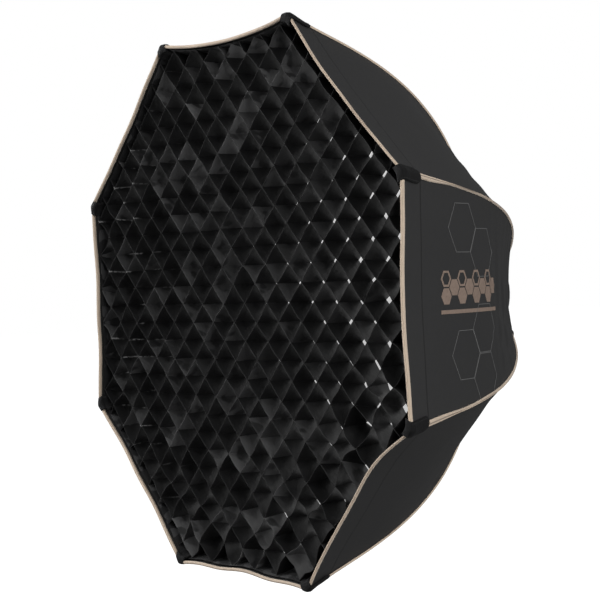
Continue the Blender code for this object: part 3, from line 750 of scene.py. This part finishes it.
def across_corner(path, normals, w, height):
    """Points across a corner, (rows, columns, 3), on the corner that faces +X.

    path and normals are (rows, 2) in (radius, y). w is (rows, columns) across. The two panels fall away from
    the corner, and the fold between them is eased over a few millimetres.
    """
    eased = np.sqrt(w**2 + 0.0035**2) - 0.0035
    drop = eased * math.tan(HALF)
    radius = path[:, :1] - drop + normals[:, :1] * height
    y = path[:, 1:] + normals[:, 1:] * height
    return np.stack([radius, y, w], -1)


def path_normals(path):
    slope = np.gradient(path, axis=0)
    slope /= np.linalg.norm(slope, axis=1, keepdims=True)
    return np.stack([slope[:, 1], -slope[:, 0]], -1)


def corner_strip(name, corner, path, normals, w, lay, under, run, material):
    """A strip over one corner, between two heights above a path. run is the distance along the path."""
    angle = HALF + (corner - 1) * STEP
    top = turned(across_corner(path, normals, w, lay), angle)
    bottom = turned(across_corner(path, normals, w, np.full_like(w, under)), angle)
    return slab_object(name, top, bottom, cloth_places(w, run[:, None]), material, sharp=80)


def make_binding(corner):
    """The folded tape over one seam: two ridges with a sewn channel between them, flattened by the pocket."""
    arc = np.linspace(POCKET_LENGTH, SEAM_ARC[-1] * 0.985, 330)
    path = seam_offset(share_on_seam(arc), 0.0006)
    flat = 1 - smooth(0.055, 0.135, arc)[:, None]
    spread = np.linspace(-1, 1, 23)
    half_width = FLAT_TAPE_HALF.get(corner, TAPE_HALF) + 0.0026 * flat
    w = half_width * spread + 0.0003 * np.sin(arc / 0.017 + corner)[:, None]
    ridge = hump(np.abs(spread), 0.60, 0.26) * (1 - 0.55 * flat)
    channel = hump(spread, 0, 0.16) * (1 - 0.85 * flat)
    lay = 0.0009 + 0.0011 * ridge - 0.0007 * channel + 0.0004 * flat
    lay = lay * smooth(0, 0.12, 1 - np.abs(spread)) + 0.0002
    lay = lay + 0.00012 * np.sin(TURN * arc / 0.0032)[:, None] * channel
    name = f"seam_tape_{corner}"
    return corner_strip(name, corner, path, path_normals(path), w, lay, -0.0006, arc, TAN_TAPE)


def make_pocket(corner):
    """The webbing cap over a rib's tip: down the seam, round the rim and back inside."""
    outer_leg = seam_offset(share_on_seam(np.linspace(POCKET_LENGTH, 0, 46)), 0.0014)
    inner_leg = seam_offset(share_on_seam(np.linspace(0.001, 0.016, 14)), -0.0098)
    bend = np.linspace(0, math.pi, 22)[1:-1]
    nose_r = (POCKET_OUTSIDE + POCKET_INSIDE) / 2 + (POCKET_OUTSIDE - POCKET_INSIDE) / 2 * np.cos(bend)
    nose = np.stack([nose_r, RIM_Y - 0.0040 - 0.0016 * np.sin(bend)], -1)
    path = np.concatenate([outer_leg, nose, inner_leg])
    run = run_along(path[:, 0], path[:, 1])
    blunt = 0.009 if corner in (8, 5) else 0.014
    from_end = np.clip(run / blunt, 0, 1)
    half_width = POCKET_HALF * (0.25 + 0.75 * np.sqrt(1 - (1 - from_end) ** 2))
    half_width = half_width * (1 + 0.03 * np.sin(run / 0.011 + corner))
    spread = np.linspace(-1, 1, 31)
    w = half_width[:, None] * spread
    over_tip = hump(w, 0, 0.0055) * (smooth(0.006, 0.020, run) * (1 - smooth(0.052, 0.060, run)))[:, None]
    puff = 0.0008 * over_tip + 0.0004 * np.sin(run / 0.006 + corner)[:, None] * (1 - spread**2)
    sewn = -0.0005 * hump(np.abs(w), 0.0094, 0.0009)
    lay = (0.0010 + puff + sewn) * smooth(0, 0.10, 1 - np.abs(spread)) + 0.0001
    lay = lay * smooth(0, 0.0015, run)[:, None] + 0.0002
    name = f"tip_pocket_{corner}"
    return corner_strip(name, corner, path, -path_normals(path), w, lay, -0.0005, run, WEBBING)


def squarish(wave):
    """A sine or cosine pushed outwards, for a section with rounded corners."""
    return np.sign(wave) * np.abs(wave) ** 0.6


def make_collar():
    """The elastic hem at the shell's rear end, gathered round the speed ring."""
    low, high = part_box("rear_collar")
    middle_y, half_y = (low.y + high.y) / 2, (high.y - low.y) / 2
    middle_r, half_r = (COLLAR_INNER + COLLAR_OUTER) / 2, (COLLAR_OUTER - COLLAR_INNER) / 2
    around, angles = circle(288)[:, None], circle(20)
    gathers = 0.0005 * np.sin(36 * around) + 0.0003 * np.sin(23 * around + 1)
    r = middle_r + (half_r + gathers) * squarish(np.cos(angles))
    y = middle_y + (half_y + gathers) * squarish(np.sin(angles))
    points = np.stack([r * np.cos(around), y, r * np.sin(around)], -1).reshape(-1, 3)
    uv = cloth_places(angles * half_r, around * middle_r).reshape(-1, 2)
    return mesh_object("rear_elastic_hem", points, ring_faces(*r.shape), uv, [WEBBING], sharp=80)


panels, corner_pieces = {}, {}
for n in range(1, SIDES + 1):
    panels[n] = finish_piece(make_panel(n), "softbox", "shell_cloth", f"shell_panel_{n}")
    cord = finish_piece(make_piping(n), "softbox", "tan_trim", f"rim_piping_{n}")
    tape = finish_piece(make_binding(n), "softbox", "tan_trim", f"seam_binding_{n}")
    pocket = finish_piece(make_pocket(n), "softbox", "webbing", f"corner_pocket_{n}")
    corner_pieces[n] = [cord, tape, pocket]
finish_piece(make_collar(), "softbox", "webbing", "rear_collar")


# ---------------------------------------------------------------- print on the side that faces +X
def on_side_8(points, lift):
    """Row-frame points for (along, across) on side 8, along from the rim and across from its middle."""
    t = share_at_arc(points[..., 0])
    r = np.interp(t, SHARES, SEAM_R)
    u = 0.5 + points[..., 1] / (2 * r * math.sin(HALF))
    return shell_point(8, t, u, lift)


def hexagon(centre, radius):
    angle = circle(6)
    return np.asarray(centre) + radius * np.stack([np.cos(angle), np.sin(angle)], -1)


def shrunk(outline, per_side, shares):
    """A closed outline drawn towards its middle, one ring for each share."""
    sides = zip(outline, np.roll(outline, -1, 0))
    dense = np.concatenate([np.linspace(a, b, per_side, endpoint=False) for a, b in sides])
    middle = outline.mean(0)
    return np.stack([middle + (dense - middle) * share for share in shares])


def ink(places, wrap=True):
    """A film of ink over a grid of places on side 8, closed and a hair thick."""
    points, faces = slab(on_side_8(places, INK_TOP), on_side_8(places, INK_UNDER), wrap)
    return points, faces, np.concatenate([places.reshape(-1, 2)[:, ::-1]] * 2)


def solid_cell(centre, radius):
    return ink(shrunk(hexagon(centre, radius), 6, np.linspace(1, 0.04, 4)))


def drawn_cell(centre, radius, width):
    """A cell in line. A cell that runs into a seam is cut off there."""
    places = shrunk(hexagon(centre, radius), 14, (1, 1 - width / radius))
    half = np.interp(share_at_arc(places[..., 0]), SHARES, SEAM_R) * math.sin(HALF)
    inside = (np.abs(places[..., 1]) < half).all(0)
    if inside.all():
        return ink(places)
    first = np.flatnonzero(inside & ~np.roll(inside, 1))[0]
    return ink(np.roll(places, -first, axis=1)[:, : inside.sum()], wrap=False)


def bar(low, high):
    """A long rectangle."""
    along, across = np.linspace(low[0], high[0], 60), np.linspace(low[1], high[1], 4)
    return ink(cloth_places(along[:, None], across), wrap=False)


def make_print():
    """A band of solid honeycomb cells over a bar, and a few large cells drawn in thin grey line."""
    cell, start, middle, columns = 0.0140, 0.101, 0.0090, 8
    column, row = cell * 1.5, cell * math.sqrt(3) / 2
    band = []
    for i in range(columns):
        along, across = start + i * column, middle + (row / 2 if i % 2 else -row / 2)
        band.append(solid_cell((along, across), cell * 0.92))
        if i % 2 == 0:
            band.append(drawn_cell((along, across + 2 * row), cell * 0.92, 0.0036))
    band.append(bar((start - cell, -0.0215), (start + (columns - 1) * column + cell, -0.0160)))
    finish_piece(joined("side_print_tan", band, [TAN_INK]), "softbox", "tan_trim")
    places = (0.150, 0.098), (0.210, 0.063), (0.150, -0.080), (0.210, -0.045), (0.210, -0.115)
    large = [drawn_cell(place, 0.040, 0.0011) for place in places]
    finish_piece(joined("side_print_grey", large, [GREY_INK]), "softbox", "shell_cloth")


make_print()


# ---------------------------------------------------------------- honeycomb grid
def crumple(x, z):
    """How crumpled the grid is at a place, from 0 to 1: most at the lower right, then at the bottom."""
    angle = np.arctan2(z, x)
    out = np.hypot(x, z) / (RIM_RADIUS * math.cos(HALF))
    low_right = hump(angle, -0.75, 0.75) * smooth(0.45, 0.95, out)
    low = hump(angle, -1.75, 0.65) * smooth(0.55, 0.98, out) * 0.75
    left = hump(np.abs(angle), math.pi, 0.65) * smooth(0.62, 1.0, out) * 0.35
    edge = smooth(0.80, 1.0, out) * 0.15
    return np.clip(low_right + low + left + edge, 0, 1)


def drift(x, z, v):
    """How far the crossings of the grid have moved, (dx, dz), at depth share v from its front edge."""
    c = crumple(x, z)
    size = 0.0006 + 0.0022 * c
    dx = size * (np.sin(31 * x + 47 * z + 1.0) + 0.7 * np.sin(83 * z - 29 * x))
    dz = size * (np.sin(43 * z - 37 * x + 2.0) + 0.7 * np.sin(71 * x + 19 * z + 0.5))
    lean = (v - 0.5) * (0.0012 + 0.0070 * c)
    dx = dx * (1 - 0.35 * v) + lean * np.sin(57 * x + 13 * z + 0.7)
    dz = dz * (1 - 0.35 * v) + lean * np.sin(61 * z + 17 * x + 2.1)
    return dx, dz


def span(outline, run, offset):
    """First and last place where a line at this offset, along run, meets a closed outline."""
    flat = outline[:, [0, 2]]
    side = np.array([-run[1], run[0]])
    away = flat @ side - offset
    after = np.roll(away, -1)
    at = np.flatnonzero((away < 0) != (after < 0))
    share = away[at] / (away[at] - after[at])
    nxt = np.roll(flat, -1, 0)
    found = (flat[at] + share[:, None] * (nxt[at] - flat[at])) @ run
    return found.min(), found.max()


def kept_inside(points):
    """The same points, moved towards the axis where they would stand outside the lip."""
    x, y, z = np.moveaxis(points, -1, 0)
    sector = np.round(np.arctan2(z, x) / STEP)
    facing = np.stack([np.cos(sector * STEP), np.zeros_like(x), np.sin(sector * STEP)], -1)
    out = x * facing[..., 0] + z * facing[..., 2]
    across = z * facing[..., 0] - x * facing[..., 2]
    t = share_at_y(y)
    r = np.interp(t, SHARES, SEAM_R)
    u = np.clip(0.5 + across / (2 * r * math.sin(HALF)), 0, 1)
    limit = np.zeros_like(x)
    for side in range(1, SIDES + 1):
        room = r * math.cos(HALF) - side_pull(side, t, u) - STRIP_END_INSET
        limit = np.where(sector % SIDES == side % SIDES, room, limit)
    return points - facing * np.clip(out - limit, 0, None)[..., None]


def sagged(place, side, s, v, free, number):
    """Places along one strip, moved to where its crossings have drifted and its cells have bellied."""
    dx, dz = drift(place[..., 0], place[..., 1], v)
    moved = place + np.stack([dx, dz], -1) * free[..., None]
    c = crumple(place[..., 0], place[..., 1])
    cells = (s - CELL / 2) / CELL
    chances = RNG.normal(size=(90, 3))  # more rows than a strip has cells, the middle one near row 40
    size, lean, second = np.moveaxis(chances[np.floor(cells).astype(int) + 40], -1, 0)
    size = (0.0003 + 0.0011 * c) * size
    lean = (0.0014 + 0.0030 * c) * lean * (v - 0.5)
    second = (0.0001 + 0.0007 * c) * second * np.sin(TURN * (cells % 1.0))
    shape = (size * (0.55 + 0.45 * np.cos(math.pi * v)) + lean) * np.sin(math.pi * (cells % 1.0)) + second
    edge_wave = 0.0004 * np.sin(s / 0.013 + number) + 0.0016 * c * np.sin(s / 0.017 + 2 * number)
    return moved + side * (shape * free)[..., None], np.abs(edge_wave) * (1 - v) * free


def make_strips(name, run, lift):
    """Every strip of one direction. Returns the object and the strips' whole length."""
    run = np.array(run)
    side = np.array([-run[1], run[0]])
    v = np.linspace(0, 1, 7)[:, None]
    levels = GRID_FRONT + v * TAPE_WIDTH
    outlines = [lip(y, STRIP_END_INSET) for y in levels[:, 0]]
    count = int((RIM_RADIUS * math.cos(HALF) - 0.010) / CELL + 0.5)
    per_cell, most_cells = 10, 25  # most_cells is more than a strip has on either side of its middle
    steps = np.arange(-most_cells * per_cell, most_cells * per_cell + 1) * CELL / per_cell + CELL / 2
    parts, whole = [], 0.0
    for number, offset in enumerate((np.arange(-count, count) + 0.5) * CELL):
        ends = np.array([span(outline, run, offset) for outline in outlines])
        first, last = ends[:, 0].max() + 0.0015, ends[:, 1].min() - 0.0015
        whole += last - first
        s = np.concatenate([[first], steps[(steps > first) & (steps < last)], [last]])
        s = np.tile(s, (len(v), 1))
        s[:, 0], s[:, -1] = ends[:, 0], ends[:, 1]
        free = smooth(0, 0.022, np.minimum(s - s[:, :1], s[:, -1:] - s))
        moved, raised = sagged(s[..., None] * run + offset * side, side, s, v, free, number)
        centre = kept_inside(np.stack([moved[..., 0], levels + raised + lift, moved[..., 1]], -1))
        slope = np.gradient(centre[..., [0, 2]], axis=1)
        slope /= np.linalg.norm(slope, axis=-1, keepdims=True)
        half = STRIP / 2 * np.stack([-slope[..., 1], np.zeros_like(s), slope[..., 0]], -1)
        points, faces = slab(centre + half, centre - half)
        # Each strip has its own stretch of the cloth, a whole number of cells along
        uv = cloth_places(s + 22 * CELL * number, v * TAPE_WIDTH).reshape(-1, 2)
        parts.append((points, faces, np.concatenate([uv, uv])))
    return joined(name, parts, [GRID_CLOTHS[name]], 40), whole


def make_band(name, front, rear, ripple):
    """A tape that lines the lip from front to rear."""
    levels = np.linspace(front, rear, 9)
    outer = np.stack([lip(y, BAND_INSET, 48) for y in levels])
    inner = np.stack([lip(y, BAND_INSET + BAND, 48) for y in levels])
    around = circle(outer.shape[1])
    wave = ripple * (np.sin(41 * around) + 0.6 * np.sin(67 * around + 1))
    fade = (1 - (levels - front) / (rear - front))[:, None]
    for loop in (outer, inner):
        loop[..., 1] += np.abs(wave)[None] * fade
    uv = cloth_places(loop_runs(outer[0])[None], (levels - front)[:, None])
    return slab_object(name, outer, inner, uv, HOOK_TAPE, wrap=True), loop_length(outer[0])


DIAGONAL = math.sqrt(0.5)
rising, rising_length = make_strips("honeycomb_strips_rising", (DIAGONAL, DIAGONAL), STRIP_GAP)
falling, falling_length = make_strips("honeycomb_strips_falling", (DIAGONAL, -DIAGONAL), -STRIP_GAP)
band, band_length = make_band("honeycomb_border_tape", GRID_FRONT, GRID_REAR, 0.0007)
finish_piece(rising, "grid", "grid_cloth", "grid_strips_rising")
finish_piece(falling, "grid", "grid_cloth", "grid_strips_falling")
finish_piece(band, "grid", "hook_tape", "grid_border_band")


# ---------------------------------------------------------------- diffusers
def disc(outline, rows, lift):
    """Rings from an outline to its middle. lift gives y from x, z and the share towards the middle."""
    middle = outline.mean(0)
    shares = np.linspace(0, 0.985, rows)
    rings = outline[None] + (middle - outline)[None] * shares[:, None, None]
    rings[..., 1] += lift(rings[..., 0], rings[..., 2], shares[:, None])
    return rings


def cloth_disc(name, outline, rows, thickness, lift, material):
    """A closed sheet over an outline, with a fan over the middle of each face."""
    front = disc(outline, rows, lift)
    back = front + np.array([0, thickness, 0])
    points, faces = slab(front, back, wrap=True)
    columns = len(outline)
    count = rows * columns
    run = (rows - 1) * columns
    flip = faces[0][0] != 0
    faces = faces[: 2 * run] + faces[2 * run :: 2]  # without the edge round the middle
    points = np.concatenate([points, [front[-1].mean(0)], [back[-1].mean(0)]])
    faces += fan(run, columns, 2 * count, flip) + fan(count + run, columns, 2 * count + 1, not flip)
    return mesh_object(name, points, faces, points[:, [0, 2]], [material]), outline_area(outline)


def octagon(radius, y):
    """A loop round an octagon whose sides pull in like the baffle's."""
    u = np.linspace(0, 1, 14, endpoint=False)
    out = radius * math.cos(HALF) - BAFFLE_SCALLOP * 4 * u * (1 - u)
    across = (2 * u - 1) * radius * math.sin(HALF)
    flat = np.stack([out, np.full_like(u, y), across], -1)
    return np.concatenate([turned(flat, side * STEP) for side in range(1, SIDES + 1)])


def outline_area(loop):
    x, z = loop[:, 0], loop[:, 2]
    return abs(float((x * np.roll(z, -1) - np.roll(x, -1) * z).sum() / 2))


def diffuser_ease(x, z, share):
    """How far the front cloth stands back from flat, nothing at its edge."""
    waves = 0.0016 * (1 + np.sin(9 * x + 4 * z) * np.sin(7 * z - 3 * x))
    return smooth(0, 0.15, share) * (waves + 0.0010 * share)


def baffle_ease(x, z, share):
    """How far the baffle stands back from flat: pulled towards its corners, soft in its middle."""
    pull = 0.0008 * np.cos(SIDES * (np.arctan2(z, x) - HALF)) * (1 - share) ** 2
    return pull + smooth(0, 0.2, share) * 0.0015 * (1 + np.sin(11 * x) * np.sin(9 * z + 1))


def make_baffle_edge():
    """The hemmed border of the inner baffle, a narrow tape folded over its edge."""
    angles = circle(10)
    radii = BAFFLE_RADIUS - 0.004 + 0.0055 * np.cos(angles)
    levels = BAFFLE_Y + 0.0004 + 0.0013 * np.sin(angles)
    rings = np.stack([octagon(radius, y) for radius, y in zip(radii, levels)], 1)
    uv = cloth_places(angles * 0.0035, loop_runs(rings[:, 0])[:, None]).reshape(-1, 2)
    faces = ring_faces(*rings.shape[:2])
    return mesh_object("inner_baffle_edge", rings.reshape(-1, 3), faces, uv, [WEBBING], sharp=60)


def make_baffle_tabs():
    """Eight webbing tabs that reach from the baffle's corners to the ribs."""
    out = np.linspace(BAFFLE_RADIUS - 0.020, BAFFLE_REACH, 22)[:, None]
    spread = np.linspace(-1, 1, 9)
    w = np.broadcast_to(spread * BAFFLE_TAB / 2, (22, 9))
    lift = 0.0010 + 0.0006 * np.sin((out - out[0]) / 0.005) * (1 - 0.5 * spread**2)
    front = np.stack([np.broadcast_to(out, w.shape), BAFFLE_Y - lift, w], -1)
    back = front + np.array([0, 0.0012, 0])
    uv = cloth_places(w, out).reshape(-1, 2)
    parts = []
    for corner in range(SIDES):
        angle = HALF + corner * STEP
        points, faces = slab(turned(front, angle), turned(back, angle))
        parts.append((points, faces, np.concatenate([uv, uv])))
    return joined("inner_baffle_tabs", parts, [WEBBING], 60)


diffuser, diffuser_area = cloth_disc(
    "front_diffusion_cloth", lip(DIFFUSER_FRONT, DIFFUSER_INSET), 26, 0.0005, diffuser_ease, WHITE_CLOTH
)
finish_piece(diffuser, "diffuser", "white_cloth", "front_diffuser")
hem, _ = make_band("diffuser_hem_tape", HEM_BAND[0].y, HEM_BAND[1].y, 0.0)
finish_piece(hem, "diffuser", "hook_tape", "diffuser_hem_band")

baffle, baffle_area = cloth_disc(
    "inner_baffle_cloth", octagon(BAFFLE_RADIUS, BAFFLE_Y), 24, 0.0006, baffle_ease, BAFFLE_CLOTH
)
finish_piece(baffle, "baffle", "white_cloth", "inner_baffle")
baffle_edge = finish_piece(make_baffle_edge(), "baffle", "webbing")
baffle_tabs = finish_piece(make_baffle_tabs(), "baffle", "webbing")


# ---------------------------------------------------------------- hardware
def dress(node, material, bevel):
    """A CAD node keeps its shape, gets its material and eased edges."""
    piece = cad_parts[node]
    piece.data.materials.clear()
    piece.data.materials.append(material)
    if bevel:
        easing = piece.modifiers.new("eased_edges", "BEVEL")
        easing.width = bevel
        easing.segments = 2
        easing.limit_method = "ANGLE"
        easing.angle_limit = math.radians(38)
        easing.harden_normals = False


for n in range(1, SIDES + 1):
    dress(f"rib_{n}", STEEL, 0)
    dress(f"rib_socket_{n}", BLACK_METAL, 0.0004)
dress("speed_ring", BLACK_METAL, 0.0006)
dress("retaining_ring", BLACK_METAL, 0.0003)
dress("mount_insert", BARE_METAL, 0.0004)
dress("lock_stud", BARE_METAL, 0.0002)


def make_knob():
    """The lock's grip: six lobes with fine ribs between eased rims, and a dished cap."""
    low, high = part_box("lock_knob")
    axis_y = (low.y + high.y) / 2
    profile = [
        (0.0, 0.60), (0.0006, 0.68), (0.0030, 0.78), (0.0048, 0.86), (0.0058, 0.985), (0.0066, 1.0),
        (0.0120, 1.005), (0.0190, 1.0), (0.0212, 0.99), (0.0228, 0.95), (0.0235, 0.88), (0.0235, 0.76),
        (0.0228, 0.70), (0.0224, 0.40), (0.0226, 0.12),
    ]  # rise from the seat, share of the radius
    rise, share = np.array(profile).T[..., None]
    around = circle(216)
    grip = smooth(0.0050, 0.0070, rise) * (1 - smooth(0.0205, 0.0225, rise))
    lobes = 0.0014 * (1 - np.cos(6 * around)) / 2
    fine = 0.00035 * (1 - np.cos(72 * around)) / 2 * grip
    r = share * (KNOB_RADIUS - lobes) - fine
    rings = np.stack([KNOB_SEAT + rise + 0 * r, axis_y + r * np.cos(around), r * np.sin(around)], -1)
    points, faces = closed_tube(turned(rings, -STEP))
    uv = np.concatenate([cloth_places(around * KNOB_RADIUS, rise).reshape(-1, 2), np.zeros((2, 2))])
    return mesh_object("lock_grip", points, faces, uv, [PLASTIC], sharp=35)


finish_piece(make_knob(), "lock", "black_plastic", "lock_knob")


def make_screws():
    """Eight pan-head screws that hold the retaining ring."""
    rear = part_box("retaining_ring")[1].y
    profile = [
        (-0.0002, 0.0024), (0.0003, 0.0025), (0.0009, 0.0022),
        (0.0013, 0.0014), (0.0013, 0.0009), (0.0007, 0.0007),
    ]  # rise above the ring, radius
    rise, r = np.array(profile).T[..., None]
    around = circle(24)
    rings = np.stack([SCREW_CIRCLE + r * np.cos(around), rear + rise + 0 * around, r * np.sin(around)], -1)
    parts = []
    for k in range(SIDES):
        points, faces = closed_tube(turned(rings, k * STEP))
        parts.append((points, faces, points[:, [0, 2]]))
    return joined("retaining_screws", parts, [BARE_METAL], 40)


finish_piece(make_screws(), "softbox", "bare_metal")


# ---------------------------------------------------------------- stage, light and camera
def make_floor():
    """A plain white floor, which lights nothing and shows in no reflection."""
    half, drop = 40.0, 1.30
    rows = np.linspace(-half, half, 9)
    x, y = np.meshgrid(rows, rows)
    points = np.stack([x, y, np.full_like(x, -drop)], -1).reshape(-1, 3)
    glow = {"Emission_Color": (1.0, 1.0, 1.0), "Emission_Strength": 0.9}
    s = Shader("floor", Specular_IOR_Level=0.1, Roughness=0.9, **glow)
    material = s.set(Base_Color=s.mix(s.noise(0.8), (0.93, 0.93, 0.93), (0.95, 0.95, 0.95)))
    floor = mesh_object("floor", points, grid_faces(9, 9), points[:, :2], [material])
    floor.visible_diffuse = floor.visible_glossy = False


def make_world():
    """White behind the object, and a softer white light on it that is stronger from above."""
    world = bpy.data.worlds.new("studio")
    bpy.context.scene.world = world
    world.use_nodes = True
    tree = world.node_tree
    tree.nodes.clear()
    seen, light = tree.nodes.new("ShaderNodeBackground"), tree.nodes.new("ShaderNodeBackground")
    kinds = "TexCoord", "SeparateXYZ", "MapRange", "LightPath", "MixShader", "OutputWorld"
    direction, parts, strength, path, mix, out = [tree.nodes.new("ShaderNode" + kind) for kind in kinds]
    for shader in (seen, light):
        shader.inputs["Color"].default_value = (1, 1, 1, 1)
    for key, value in {"From Min": -0.4, "From Max": 0.7, "To Min": 0.14, "To Max": 0.25}.items():
        strength.inputs[key].default_value = value
    links = (
        (direction.outputs["Generated"], parts.inputs[0]),
        (parts.outputs["Z"], strength.inputs["Value"]),
        (strength.outputs[0], light.inputs["Strength"]),
        (path.outputs["Is Camera Ray"], mix.inputs[0]),
        (light.outputs[0], mix.inputs[1]),
        (seen.outputs[0], mix.inputs[2]),
        (mix.outputs[0], out.inputs[0]),
    )
    for start, end in links:
        tree.links.new(start, end)


def area_light(name, place, size, power):
    """A white panel light that points at the object's middle."""
    data = bpy.data.lights.new(name, "AREA")
    data.shape = "RECTANGLE"
    data.size, data.size_y = size
    data.energy = power
    light = bpy.data.objects.new(name, data)
    light.location = place
    light.rotation_mode = "QUATERNION"
    light.rotation_quaternion = (Vector((0, -0.35, 0)) - Vector(place)).to_track_quat("-Z", "Y")
    bpy.context.scene.collection.objects.link(light)


def make_camera():
    """The photo's camera, with its slight roll."""
    eye, target = Vector((2.0711, -1.9117, 0.0333)), Vector((0.1737, RIM_Y, 0.0038))
    roll = math.radians(-2.04)
    back = (eye - target).normalized()
    flat_right = Vector((0, 0, 1)).cross(back).normalized()
    flat_up = back.cross(flat_right)
    right = math.cos(roll) * flat_right + math.sin(roll) * flat_up
    up = -math.sin(roll) * flat_right + math.cos(roll) * flat_up
    data = bpy.data.cameras.new("camera")
    data.lens, data.sensor_width = 97.97, 36.0
    camera = bpy.data.objects.new("camera", data)
    camera.rotation_mode = "QUATERNION"
    camera.location = eye
    camera.rotation_quaternion = Matrix((right, up, back)).transposed().to_quaternion()
    bpy.context.scene.collection.objects.link(camera)
    bpy.context.scene.camera = camera


make_floor()
make_world()
area_light("key", (-1.6, -3.0, 2.2), (1.4, 1.4), 75)
area_light("side", (3.3, -1.0, 0.5), (2.0, 2.0), 68)
area_light("low_left", (-2.4, -2.4, -0.9), (1.0, 1.2), 22)
area_light("left", (-3.0, -0.9, 1.2), (1.2, 1.6), 34)
make_camera()
bpy.context.scene.view_settings.view_transform = "Standard"
